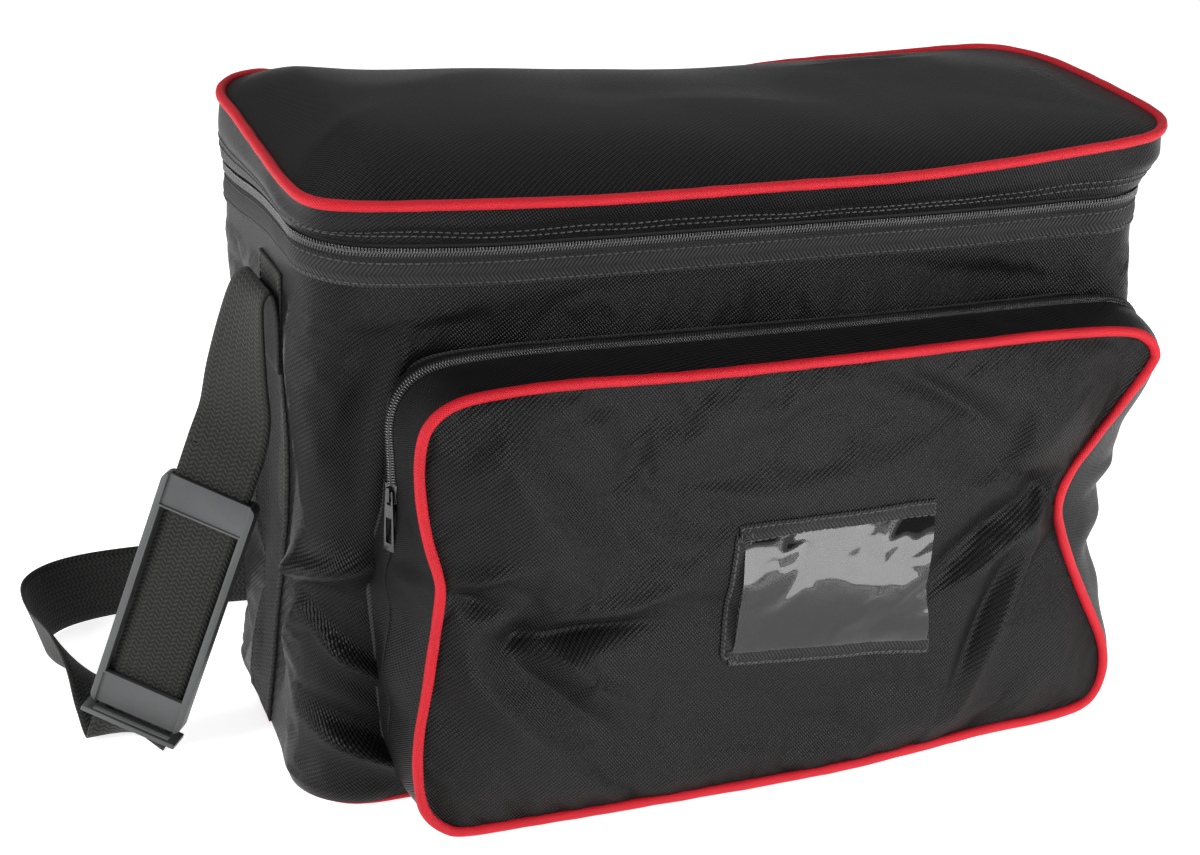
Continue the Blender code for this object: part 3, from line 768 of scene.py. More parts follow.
lid = {
    "edge": metres([  # piping line: x, y, z, from the middle of the front, counterclockwise
        (0, -109.5, 310.7), (67, -109, 310.5), (121, -106.5, 312.4), (165, -103.5, 315),
        (196, -100, 316.5), (215, -93, 317.5), (229, -76, 317.8), (234.5, -54, 318),
        (236.2, -5, 318), (234.5, 40, 317.8), (229, 65, 317.2), (216, 80, 317), (195, 86, 316),
        (163, 86.8, 314.8), (88, 86.8, 312.7), (35, 86.8, 308), (-40, 86.8, 308),
        (-120, 87.5, 312.5), (-160, 88, 316.5), (-183, 88.8, 321), (-199, 88, 323.8),
        (-214, 81, 323), (-222.5, 64, 321), (-222.5, 30, 320), (-222.2, -30, 318),
        (-222, -75, 317.5), (-217.5, -98, 317), (-203, -106, 316), (-176, -108, 314.5),
        (-90, -109.5, 311)]),
    "ridge": metres([
        (-235, 335), (-186, 338.5), (-125, 336), (-50, 331.5), (27, 328), (67, 326.2),
        (110, 324.6), (160, 325), (235, 322.5)]),
    "topFolds": metres([
        (125, 58, 30, 6.5, 8, 3), (120, 44, 34, 7, 8, -1.6), (-120, 20, 60, 20, 30, -1.2),
        (20, -30, 80, 25, -6, -1.4), (-190, -50, 30, 10, 40, -1.6),
        (170, -40, 50, 16, -30, 1.2)], 4),
    "skirtFolds": [  # metres round the case, share up the skirt
        (0.945, 0.45, 0.030, 0.22, 0, 0.0030), (0.975, 0.25, 0.030, 0.16, 0, -0.0026),
        (0.925, 0.75, 0.016, 0.24, 0, -0.0020), (1.010, 0.55, 0.040, 0.16, 0, 0.0016),
        (0.100, 0.50, 0.080, 0.20, 0, 0.0012), (0.210, 0.55, 0.020, 0.24, 0, 0.0022),
        (1.080, 0.35, 0.060, 0.16, 0, -0.0012), (0.860, 0.50, 0.040, 0.24, 0, 0.0014),
        (0.560, 0.50, 0.120, 0.26, 0, 0.0018)],
    "piping": 0.0026, "ceiling": 0.3125, "spine": (-0.150, 0.160, -0.008),
}
edgeLine = smoothLine(lid["edge"], closed=True)


def hemUnder(spots):
    # the nearest place on the case, a little outside it, for each point of the lid's edge
    s = np.linspace(0, caseRound, 900, endpoint=False)
    ring = wallAt(s, np.full(len(s), case["hem"]), case["hemOut"], creased=False)
    gap = np.linalg.norm(spots[:, None, :2] - ring[None, :, :2], axis=2)
    nearest = s[gap.argmin(axis=1)]
    # the case's front middle is both 0 and a whole round: keep the run unbroken
    run = np.unwrap(nearest * 2 * math.pi / caseRound) * caseRound / (2 * math.pi)
    kernel = np.ones(9) / 9
    padded = np.concatenate([run[-5:-1] - caseRound, run, run[1:5] + caseRound])
    run = np.convolve(padded, kernel, "valid")
    hem = wallAt(run, case["hem"] + rimWave(run), case["hemOut"], creased=False)
    return hem, run


def lidSpine(spots):
    low, high, y = lid["spine"]
    return np.column_stack([np.clip(spots[:, 0], low, high), np.full(len(spots), y)])


def buildLid():
    count = 520
    edge = alongLine(edgeLine, np.linspace(0, 1, count + 1))
    hem, run = hemUnder(edge)
    centre = edge.mean(axis=0)

    def skirt(u, v):
        k = np.rint(u * count).astype(int)
        t = v[:, None]
        return hem[k] * (1 - t) + edge[k] * t

    def puff(u, v, spots):
        s = run[np.rint(u * count).astype(int)]
        body = 0.0016 * np.sin(math.pi * v)
        return body + np.sin(math.pi * v) ** 0.7 * (
            wallFold(s, v, lid["skirtFolds"]) + ripples(spots, 0.03, 0.0010, 3.0))

    side = layCloth("lidSkirt", (count, 16), (lengthsOf(edge)[-1], 0.028), skirt,
                    finishes["fabric"], puff, thick=0.0012)
    belongs(side, "lid", "outer_fabric", "lid_skirt")

    ridge = np.array(lid["ridge"])
    inner = edge - unit(np.column_stack([edge[:, :2] - centre[:2], np.zeros(count + 1)])) * 0.001

    def top(u, v):
        k = np.rint(u * count).astype(int)
        rim = inner[k]
        spot = rim.copy()
        spot[:, :2] += (lidSpine(rim) - rim[:, :2]) * (1 - v)[:, None]
        crown = np.interp(spot[:, 0], ridge[:, 0], ridge[:, 1])
        rise = 1 - v ** 3.6
        spot[:, 2] = rim[:, 2] * (1 - rise) + crown * rise
        return spot

    def dent(u, v, spots):
        free = np.sin(math.pi * np.clip(1 - v, 0, 0.5)) ** 0.8
        return free * (folds(spots[:, 0], spots[:, 1], lid["topFolds"])
                       + ripples(spots, 0.05, 0.0012, 5.0))

    cover = layCloth("lidTop", (count, 44), (1.0, 1.0), top, finishes["fabric"], dent,
                     flat=(0, 1))
    belongs(cover, "lid", "outer_fabric", "lid_top")

    piping = tube("lidPiping", edge, lid["piping"], (900, 12), finishes["piping"],
                  (0.0, 0.0, 1.0))
    belongs(piping, "lid", "red_piping", "lid_piping")

    def under(u, v):
        k = np.rint(u * count).astype(int)
        low, high = hem[k], edge[k]
        inward = unit(centre[:2] - edge[k][:, :2])
        up = np.clip((1 - v) / 0.22, 0, 1)[:, None]
        spot = low * (1 - up) + high * up
        spot[:, :2] += inward * (0.0022 + 0.0125 * up)
        spot[:, 2] -= 0.004 * up[:, 0] - 0.0012 * (1 - up[:, 0])
        pull = np.clip((0.78 - v) / 0.78, 0, 1)[:, None]
        spot[:, :2] += (lidSpine(spot) - spot[:, :2]) * pull
        level = pull[:, 0] ** 2
        spot[:, 2] = spot[:, 2] * (1 - level) + lid["ceiling"] * level
        return spot

    def sag(u, v, spots):
        return ripples(spots, 0.04, 0.0012, 9.0) * (v < 0.9) * np.clip(v / 0.1, 0, 1)

    inside = layCloth("lidLining", (count, 40), (1.0, 1.0), under,
                      finishes["lining"], sag, flat=(0, 1))
    flipFaces(inside)
    belongs(inside, "lid", "lining", "lid_lining", "lid_foam")

    rows = [(side, hem * (1 - share) + edge * share) for share in (0.20, 0.34)]
    sewRows("lidStitches", rows, "lid", "outer_fabric")

    # the hinge tape closes the back between the two zip ends
    half = zipper["hingeHalf"]
    s = np.linspace(caseRound / 2 - half, caseRound / 2 + half, 200)

    def hinge(u, v):
        here = s[0] + u * (s[-1] - s[0])
        low = case["rim"] + rimWave(here) - 0.006
        high = case["hem"] + rimWave(here) + 0.004
        return wallAt(here, low + v * (high - low), 0.0018)

    tape = layCloth("hingeTape", (180, 14), (0.36, 0.02), hinge, finishes["grosgrain"],
                    thick=0.0008)
    turnTapeUv(tape)
    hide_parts("lid_hinge_tape")
    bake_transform(tape)
    print("lid: top, skirt, lining, piping, hinge tape")


# The front pocket

pocket = {
    # front edge x, z; back seam x, z; how far the side puffs out; from the bottom, to the right
    "round": metres([
        (-60, 3, -60, 4.5, 0), (37, 4.2, 37, 4.5, 0), (85, 7.8, 85, 5, 0),
        (130, 12.2, 130, 5.5, 0), (166.3, 14, 172, 6.5, 1), (187.6, 17.8, 194, 12, 4),
        (196.2, 25.8, 203.5, 25, 8), (199.2, 39.2, 205.5, 42, 10), (195.6, 56.6, 205, 62, 7),
        (180.8, 85.8, 204.5, 90, 7), (171.5, 105, 204.5, 107, 11),
        (164.5, 121.5, 204.5, 122, 15), (161, 136.5, 204.5, 137, 18),
        (165.2, 153.5, 205, 154.5, 19), (178.5, 173, 205.5, 174, 19),
        (194.3, 193.9, 206, 194, 18), (204.5, 208, 206.5, 209, 15), (206.5, 215, 205, 221, 9),
        (200.5, 223.5, 198, 229.5, 4), (185, 228.7, 183, 233.5, 2), (140, 230.6, 140, 233, 2),
        (62.1, 229.4, 62, 232.8, 2), (-41.2, 228.9, -41, 234, 2),
        (-101.8, 230.8, -102, 234.8, 2), (-140, 229.8, -135, 234.8, 2),
        (-160, 226.3, -160, 232.5, 2), (-171, 218, -173, 225, 2), (-175.2, 206, -179, 210, 2),
        (-175.2, 185, -180.6, 188, 0), (-171.6, 161.6, -181.2, 163, 0),
        (-166.2, 141.9, -186, 143, 2), (-165.1, 131.9, -187.5, 130, 2),
        (-166.8, 115.9, -187.7, 117, 3), (-170.9, 84.6, -184.5, 88, 3),
        (-175.1, 59.2, -182.7, 60, 3), (-175.9, 37.9, -180, 36, 2), (-172.8, 18.9, -175, 17, 1),
        (-163.7, 7.6, -165, 7.5, 0), (-150.4, 3.2, -150, 4.5, 0), (-110, 3, -110, 4.5, 0)]),
    "corners": (37.6, 5.6, 17.5, 26.2),  # stations of the panel's four corners
    "frontY": -0.1295, "slump": 0.0045, "backY": -0.0876,
    "zipFrom": 0.225, "zipTo": 0.355, "split": 0.165, "softLine": (-0.009, 0.017),
    "stitchRows": (0.05, 0.14),
    "panelFolds": metres([  # x, z, half length, half width, turn, height
        (-98, 104, 32, 6.5, 2, -6), (-124, 106, 12, 8, 40, -3), (-118, 172, 55, 20, -52, 3.4),
        (-88, 192, 50, 20, -50, -2.6), (-90, 80, 30, 8.5, -42, 3.8),
        (-112, 78, 34, 9, -42, -3.2), (-135, 70, 36, 11, -45, 2.2), (-70, 118, 40, 10, 12, 2.4),
        (-150, 128, 20, 7, -20, -3), (-148, 140, 22, 7, 10, 2.6), (128, 122, 40, 8.5, 33, 3.6),
        (112, 128, 40, 10, 33, -3.2), (131, 80, 45, 8.5, 68, 3.2), (118, 80, 45, 9, 68, -3),
        (148, 100, 34, 7.5, 62, -2.6), (103, 60, 40, 12, 78, 2.2), (145, 150, 30, 9, -30, -2.2),
        (150, 185, 45, 14, 40, 2.6), (85, 208, 26, 6, -32, -1.8), (0, 40, 90, 18, -4, -1.6),
        (20, 190, 90, 18, 4, -1.8)], 4),
    "sideFolds": [  # station, share forward
        (31.0, 0.60, 0.9, 0.50, 20, 0.0030), (32.2, 0.55, 0.5, 0.50, 10, -0.0035),
        (33.2, 0.60, 0.5, 0.45, -10, 0.0030), (34.0, 0.40, 0.4, 0.40, 10, -0.0026),
        (30.2, 0.70, 0.5, 0.40, 0, -0.0024), (11.6, 0.55, 0.5, 0.50, 10, -0.0040),
        (12.7, 0.60, 0.4, 0.40, -10, 0.0026), (10.4, 0.60, 0.4, 0.50, 10, 0.0028),
        (9.6, 0.55, 0.4, 0.50, -12, -0.0032), (14.2, 0.60, 0.5, 0.50, 12, -0.0026),
        (8.6, 0.50, 0.4, 0.40, 0, 0.0022)],
    "bulge": 0.0065, "crease": 2.3, "piping": 0.0026,
}
stations = len(pocket["round"])
pocketRing = smoothLine(pocket["round"], closed=True, perSpan=16)


def ringAt(station):
    k = np.asarray(station) % stations * 16
    return [np.interp(k, np.arange(len(pocketRing)), pocketRing[:, c]) for c in range(5)]


def frontYAt(z):
    return pocket["frontY"] - pocket["slump"] * np.clip(1 - z / 0.11, 0, 1) ** 1.5


def gussetAt(station, w):
    # station round the pocket, w from the back seam, 0, to the front piping, 1
    xe, ze, xg, zg, puff = ringAt(station)
    reach = np.clip((np.abs(xg) - 0.186) / case["corner"], 0, 1)
    yg = pocket["backY"] + case["corner"] * (1 - np.sqrt(np.clip(1 - reach ** 2, 0, 1))) * 0.9
    ye = frontYAt(ze)
    x, z = xg + (xe - xg) * w, zg + (ze - zg) * w
    y = yg + (ye - yg) * w
    station = np.asarray(station)
    ahead = [a - b for a, b in zip(ringAt(station + 0.3), ringAt(station - 0.3))]
    tangent = unit(np.column_stack([ahead[0] + ahead[2], ahead[1] + ahead[3]]))
    crease = folds(station % stations, w, pocket["sideFolds"])
    swell = puff * np.sin(math.pi * w) ** 0.8 + np.sin(math.pi * w) * crease
    x, z = x + tangent[:, 1] * swell, z - tangent[:, 0] * swell
    return np.column_stack([x, y, np.maximum(z, 0.0012)])


def panelAt(a, b):
    # a patch between the four sides of the front edge
    c0, c1, c2, c3 = pocket["corners"]

    def side(start, stop, share):
        line = np.linspace(start, stop, 200)
        xe, ze = ringAt(line)[:2]
        return alongLine(np.column_stack([xe, ze, np.zeros(200)]), share)[:, :2]

    low, right = side(c0, c1 + stations, a), side(c1, c2, b)
    high, left = side(c3, c2, a), side(c0, c3, b)
    corner = [np.array([v[0] for v in ringAt(np.array([c]))[:2]]) for c in (c0, c1, c2, c3)]
    a1, b1 = a[:, None], b[:, None]
    flat = ((1 - b1) * low + b1 * high + (1 - a1) * left + a1 * right
            - ((1 - a1) * (1 - b1) * corner[0] + a1 * (1 - b1) * corner[1]
               + a1 * b1 * corner[2] + (1 - a1) * b1 * corner[3]))
    free = (1 - (2 * a - 1) ** 8) * (1 - (2 * b - 1) ** 6)
    y = frontYAt(flat[:, 1]) - pocket["bulge"] * free ** 1.5
    crease = folds(flat[:, 0], flat[:, 1], pocket["panelFolds"])
    y -= pocket["crease"] * crease * np.clip(free * 1.6, 0, 1)
    return np.column_stack([flat[:, 0], y, flat[:, 1]])


def overSplit(piece, *nodes):
    # bakes the piece's placement into its mesh and hides the nodes it stands for; the soft line
    # round the split is worked out but not used
    low, high = (pocket["split"] + step for step in pocket["softLine"])
    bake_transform(piece)
    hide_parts(*nodes)


def zipEnds():
    # the zip runs over the top, between the stations where the sides reach the split
    fine = np.linspace(0, stations, 4001)
    across, height = ringAt(fine)[2:4]
    below = height < pocket["split"]
    return (fine[below & (across > 0)].max(),
            fine[below & (across < 0) & (fine > stations / 2)].min())


def buildPocketPanel():
    def ruffle(a, b, spots):
        edgeFade = np.clip(np.minimum.reduce([a, 1 - a, b, 1 - b]) * 14, 0, 1)
        return edgeFade * ripples(spots, 0.040, 0.0010, 11.0)

    panel = layCloth("pocketPanel", (200, 122), (1.0, 1.0), panelAt, finishes["fabric"],
                     ruffle, flat=(0, 2), thick=0.0014)
    a, b = (np.array([cut.value for cut in panel.data.attributes[name].data])
            for name in ("cutU", "cutV"))
    border = np.minimum.reduce([a, 1 - a, b, 1 - b])
    puffed(panel, (border < 0.008).astype(float), pressure=0.5, most=0.004)
    overSplit(panel, "pocket_panel_lower", "pocket_panel_upper")

    x, z = ringAt(np.linspace(0, stations, 900))[:2]
    edge = np.column_stack([x, frontYAt(z) - 0.0006,
                            np.maximum(z, pocket["piping"] + 0.0003)])
    piping = tube("pocketPiping", edge, pocket["piping"], (820, 12), finishes["piping"],
                  (0.0, -1.0, 0.0))
    overSplit(piping, "pocket_piping_lower", "pocket_piping_upper")
    print("pocket: panel and piping")
    return panel


def buildPocketSides(right, left):
    w0, w1 = pocket["zipFrom"], pocket["zipTo"]

    def band(stationRange, wRange):
        def place(u, v):
            station = stationRange[0] + u * (stationRange[1] - stationRange[0])
            return gussetAt(station, wRange[0] + v * (wRange[1] - wRange[0]))
        return place

    def wrinkle(u, v, spots):
        return ripples(spots, 0.018, 0.0008, 13.0) * np.sin(math.pi * v)

    pieces = {}
    for name, node, stationRange, wRange, cells in (
            ("pocketSide", "pocket_gusset_front", (0.0, float(stations)), (w1, 1.0), (560, 16)),
            ("pocketBack", "pocket_gusset_back", (right, left), (0.0, w0), (300, 8)),
            ("pocketFoot", "pocket_gusset_lower", (left, right + stations), (0.0, w1),
             (300, 10))):
        size = (1.15 * (stationRange[1] - stationRange[0]) / stations,
                0.044 * (wRange[1] - wRange[0]))
        pieces[name] = layCloth(name, cells, size, band(stationRange, wRange),
                                finishes["fabric"], wrinkle, thick=0.0010)
        flipFaces(pieces[name])
        if name == "pocketSide":
            overSplit(pieces[name], node)
        else:
            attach(pieces[name], "case")
            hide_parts(node)

    # the bound seam where the pocket is sewn to the case
    seam = gussetAt(np.linspace(0, stations, 4001), np.zeros(4001))
    binding = tube("pocketBinding", seam + np.array([0.0, -0.0012, 0.0]), 0.0019, (560, 8),
                   finishes["grosgrain"], (0.0, -1.0, 0.0))
    belongs(binding, "case", "tape", "pocket_binding")

    print("pocket: sides and seam")
    return pieces["pocketSide"]


def buildPocketZip(right, left):
    w0, w1 = pocket["zipFrom"], pocket["zipTo"]
    middle = (w0 + w1) / 2
    run = np.linspace(right + 0.15, left - 0.15, 600)
    centres = gussetAt(run, np.full(600, middle))
    ahead = unit(np.gradient(centres, axis=0))
    forward = unit(gussetAt(run, np.full(600, middle + 0.05))
                   - gussetAt(run, np.full(600, middle - 0.05)))
    outer = unit(np.cross(forward, ahead))
    inwards = (outer * (centres - np.array([0.014, centres[:, 1].mean(), 0.12]))).sum(axis=1) < 0
    outer[inwards] *= -1
    facing = unit(outer + forward * pocketZip["roll"])  # the coil rolls towards the front
    for side, name, body, node in ((1, "Inner", "case", "pocket_zip_inner"),
                                   (-1, "Outer", "pocket_flap", "pocket_zip_outer")):
        front = (np.cross(facing, ahead) * forward).sum(axis=1).mean() > 0
        way = -side if front else side
        row = coilRow("pocketZipCoil" + name, centres, ahead, facing, way, pocketZip,
                      pocketZip["proud"])
        share = (w0, middle - 0.004) if name == "Inner" else (middle + 0.004, w1)

        def strip(u, v):
            station = run[0] + u * (run[-1] - run[0])
            rise = outer[np.rint(u * 599).astype(int)] * 0.0013
            return gussetAt(station, share[0] - 0.02 + v * (share[1] - share[0] + 0.04)) + rise

        tape = layCloth("pocketZipTape" + name, (300, 3), (0.5, 0.004), strip,
                        finishes["zipTape"])
        flipFaces(tape)
        belongs(row, body, "zip")
        belongs(tape, body, "zip", node)

    # a sewn patch at each end of the zip
    for name, station, way, node in (("zipPatchLeft", left, 1, "zip_patch_left"),
                                     ("zipPatchRight", right, -1, "zip_patch_right")):

        def patch(u, v):
            curve = 0.05 + 0.32 * v + 0.12 * np.sin(math.pi * u)
            return gussetAt(station + way * curve, 0.06 + 0.62 * u)

        cover = layCloth(name, (24, 8), (0.03, 0.012), patch, finishes["fabric"],
                         lambda u, v, spots: np.full(len(u), -0.0009 * way))
        if way < 0:
            flipFaces(cover)
        belongs(cover, "case", "outer_fabric", node)
    print("pocket: zip and patches")


def sewPocket(side, right, left):
    above = np.linspace(right, left, 500)
    rows = [(side, gussetAt(above, np.full(500, pocket["zipTo"] + step)))
            for step in pocket["stitchRows"]]
    sewRows("pocketStitches", rows, "pocket_flap", "outer_fabric")
    print("pocket: stitches over the zip")


# The card window on the pocket

window = {
    "outer": metres([
        (-25, 76), (-21.2, 151.5), (85.8, 153), (88.5, 68.2)]),
    "binding": 0.0092, "raise": 0.0009,
}


def buildWindow(panel):
    tree = surfaceOf(panel)

    def press(x, z, out):
        spots = []
        for px, pz, po in zip(x, z, np.broadcast_to(out, x.shape)):
            hit = tree.ray_cast(Vector((px, -0.3, pz)), Vector((0.0, 1.0, 0.0)))
            spots.append(hit[0] + Vector((0.0, -po, 0.0)))
        return np.array(spots)

    bl, tl, tr, br = (np.array(p) for p in window["outer"])
    wide = window["binding"]
    # the binding runs along the bottom, up the left side and along the top
    inset = [bl + (wide / 2, wide / 2), tl + (wide / 2, -wide / 2)]
    route = [br + (0.0, wide / 2), inset[0] + (0.010, 0.0), inset[0] + (0.0015, 0.0015),
             inset[0] + (0.0, 0.010), inset[1] + (0.0, -0.010), inset[1] + (0.0015, -0.0015),
             inset[1] + (0.010, 0.0), tr + (0.0, -wide / 2)]
    line = smoothLine([(*p, 0.0) for p in route])
    line = alongLine(line, np.linspace(0, 1, 241))
    ahead = unit(np.gradient(line, axis=0))
    left = np.column_stack([-ahead[:, 1], ahead[:, 0]])

    def frameAt(u, v):
        k = np.rint(u * 240).astype(int)
        spot = line[k][:, :2] + left[k] * ((v - 0.5) * wide)[:, None]
        return press(spot[:, 0], spot[:, 1], window["raise"] + 0.0006 * np.sin(math.pi * v))

    def rough(u, v, spots):
        return ripples(spots, 0.006, 0.00025, 17.0)

    total = lengthsOf(line)[-1]
    binding = layCloth("cardBinding", (240, 8), (total, wide), frameAt, finishes["grosgrain"],
                       rough, thick=0.0010)
    turnTapeUv(binding)
    faceFront(binding)
    belongs(binding, "case", "tape", "card_window_binding")

    def sheetAt(u, v):
        base = (bl + (wide * 0.6, wide * 0.7))[None] + 0 * u[:, None]
        top = (tl + (wide * 0.6, -wide * 0.7))[None]
        farLow = (br + (-0.0015, wide * 0.7))[None]
        farTop = (tr + (-0.0005, -wide * 0.7))[None]
        u1, v1 = u[:, None], v[:, None]
        spot = (base * (1 - u1) + farLow * u1) * (1 - v1) + (top * (1 - u1) + farTop * u1) * v1
        spot[:, 0] -= 0.0035 * np.clip(u - 0.8, 0, 1) / 0.2 * np.sin(math.pi * v) ** 2
        puff = 0.0008 + 0.0074 * np.sin(math.pi * v ** 0.85) * (0.7 + 0.3 * u)
        wave = 0.0005 * np.sin(8.0 * u + 2.0 + 3.0 * v) * np.sin(math.pi * v)
        return press(spot[:, 0], spot[:, 1], puff + wave)

    film = layCloth("cardFilm", (60, 40), (0.11, 0.07), sheetAt, finishes["film"], flat=(0, 2))
    belongs(film, "case", "film", "card_window")

    u = np.linspace(0.0, 1.0, 241)
    sewRows("cardStitches", [(binding, frameAt(u, np.full(241, v))) for v in (0.16, 0.84)],
            "case", "tape")
    print("card window: film, binding, stitches")


def faceFront(piece):
    if sum(p.normal.y * p.area for p in piece.data.polygons) > 0:
        flipFaces(piece)


# Webbing on the ends, the shoulder strap, and what is on it

strap = {
    "width": 0.040, "thick": 0.0014, "foldX": 0.2187, "y": -0.020, "room": 0.0012,
    "padFoot": (-0.2880, -0.0050, 0.0190), "padHead": (-0.2475, -0.0150, 0.1450),
    "padAcross": (0.860, -0.51, 0.0), "padWide": 0.050, "padDeep": 0.0095,
}


def padAxes():
    foot, head = Vector(strap["padFoot"]), Vector(strap["padHead"])
    along = (head - foot).normalized()
    across = Vector(strap["padAcross"])
    across = (across - along * across.dot(along)).normalized()
    return foot, head, across, along.cross(across), along


def strapStations():
    foot, head, across, face, along = padAxes()
    x, y = strap["foldX"], strap["y"]
    level, upright = Vector((0, 1, 0)), Vector((0, 0, -1))
    return [
        ((-x - 0.0002, y, 0.2120), -level), ((-x - 0.0005, y, 0.2380), -level),
        ((-x - 0.0040, y, 0.2520), (0.06, -1, 0)), ((-x - 0.0100, y, 0.2475), (0.15, -1, 0)),
        ((-0.2325, y + 0.001, 0.2260), (0.36, -0.93, 0)),
        ((-0.2350, y + 0.001, 0.2050), (0.55, -0.83, 0)),
        ((-0.2362, y + 0.002, 0.1840), (0.72, -0.69, 0)),
        (head + along * 0.022, across), (head + along * 0.012, across),
        (head - along * 0.040, across), (foot + along * 0.040, across),
        (foot - along * 0.002, across), (foot - along * 0.0085 - face * 0.0005, across),
        ((-0.2925, 0.0080, 0.0026), (1.0, -0.05, 0)),
        ((-0.2955, 0.0250, 0.0062), (0.97, 0.02, -0.24)),
        ((-0.3010, 0.0440, 0.0126), (0.82, 0.05, -0.57)),
        ((-0.3110, 0.0660, 0.0176), (0.58, 0, -0.81)),
        ((-0.3230, 0.0930, 0.0198), (0.36, -0.06, -0.93)),
        ((-0.3215, 0.1180, 0.0206), (0.20, -0.14, -0.97)),
        ((-0.3010, 0.1350, 0.0206), (0.06, -0.10, -1)),
        ((-0.2600, 0.1400, 0.0209), upright), ((-0.2000, 0.1350, 0.0209), upright),
        ((-0.1200, 0.1260, 0.0209), upright), ((-0.0300, 0.1220, 0.0209), upright),
        ((0.0600, 0.1230, 0.0209), upright), ((0.1400, 0.1270, 0.0209), upright),
        ((0.1900, 0.1260, 0.0214), upright), ((0.2230, 0.1140, 0.0250), (0, -0.12, -0.99)),
        ((0.2390, 0.0900, 0.0400), (0, -0.45, -0.89)),
        ((0.2430, 0.0650, 0.0720), (0, -0.75, -0.66)),
        ((0.2420, 0.0450, 0.1120), (0, -0.88, -0.47)),
        ((0.2390, 0.0230, 0.1600), (0, -0.92, -0.40)),
        ((0.2345, -0.0020, 0.2050), (0, -0.96, -0.28)),
        ((x + 0.0115, y + 0.0050, 0.2390), (0, -0.995, -0.06)), ((x + 0.0060, y, 0.2520), -level),
        ((x + 0.0008, y, 0.2380), -level), ((x + 0.0004, y, 0.2120), -level)]


def buildStrap(wall):
    route = strapStations()
    centres = smoothLine([tuple(p) for p, _ in route], perSpan=8)
    widths = unit(smoothLine([tuple(Vector(w).normalized()) for _, w in route], perSpan=8))
    ahead = unit(np.gradient(centres, axis=0))
    widths = unit(widths - ahead * (widths * ahead).sum(axis=1, keepdims=True))
    last = len(centres) - 1
    gone = lengthsOf(centres)

    def ribbon(u, v):
        k = np.rint(u * last).astype(int)
        return centres[k] + widths[k] * ((v - 0.5) * strap["width"])[:, None]

    belt = layCloth("shoulderStrap", (last, 10), (1.0, strap["width"]), ribbon,
                    finishes["webbing"])
    layer = belt.data.uv_layers["cloth"].data
    for loop in layer:
        u, v = loop.uv
        loop.uv = (v, np.interp(u * last, np.arange(last + 1), gone))
    solid = belt.modifiers.new("thickness", "SOLIDIFY")  # even on both sides
    solid.thickness, solid.offset = strap["thick"], 0.0
    belongs(belt, "case", "webbing", "shoulder_strap")
    buildEndWebbing(wall)
    pad, slide = buildPad(), buildSlide()
    print(f"strap: {gone[-1]:.3f} m of webbing")


def buildEndWebbing(wall):
    # webbing sewn up each end
    tree = surfaceOf(wall)
    rows = []
    for name, s0, lean, node in (("endWebbingLeft", 0.890, -0.030, "end_webbing_left"),
                                 ("endWebbingRight", 0.2702, 0.0, "end_webbing_right")):

        def strip(u, v):
            z = 0.0060 + u * 0.2560
            s = s0 + lean * np.clip(1 - z / 0.19, 0, 1) ** 1.2 + (v - 0.5) * strap["width"]
            spots = wallAt(s, z, 0.0)
            out = []
            for p in spots:
                outward = Vector((math.copysign(1.0, p[0]), 0.0, 0.0))
                hit = tree.ray_cast(Vector((p[0], p[1], p[2])) + outward * 0.05, -outward)
                out.append(hit[0] + outward * 0.0012 if hit[0] else Vector(p))
            return np.array(out)

        web = layCloth(name, (130, 10), (0.256, strap["width"]), strip, finishes["webbing"],
                       thick=0.0013)
        turnTapeUv(web)
        side = -1 if "Left" in name else 1
        if sum(p.normal.x * p.area for p in web.data.polygons) * side < 0:
            flipFaces(web)
        belongs(web, "case", "webbing", node)
        run = np.linspace(0.01, 0.99, 130)
        rows += [(web, strip(run, np.full(130, v))) for v in (0.07, 0.93)]
    sewRows("webbingStitches", rows, "case", "webbing")
    print("webbing on both ends")


def carve(name, bm, boxes, bevel, material, matrix):
    piece = meshObject(name, bm, material)
    cutters = []
    for low, high in boxes:
        block = bmesh.new()
        addBlock(block, [(a + b) / 2 for a, b in zip(low, high)],
                 [b - a for a, b in zip(low, high)])
        cutter = meshObject(name + "Cutter", block)
        carved = piece.modifiers.new("cut", "BOOLEAN")
        carved.operation, carved.object = "DIFFERENCE", cutter
        cutters.append(cutter)
    soft = piece.modifiers.new("soften", "BEVEL")
    soft.width, soft.segments, soft.limit_method = bevel, 3, "ANGLE"
    soft.angle_limit = math.radians(35)
    bpy.context.view_layer.update()
    graph = bpy.context.evaluated_depsgraph_get()
    made = bpy.data.meshes.new_from_object(piece.evaluated_get(graph))
    piece.modifiers.clear()
    piece.data = made
    for cutter in cutters:
        bpy.data.objects.remove(cutter)
    piece.data.transform(matrix)
    piece.data.shade_smooth()
    piece.data.set_sharp_from_angle(angle=math.radians(50))
    return piece


def onStrap(foot):
    _, _, across, face, along = padAxes()
    return Matrix.Translation(foot) @ Matrix((across, face, along)).transposed().to_4x4()


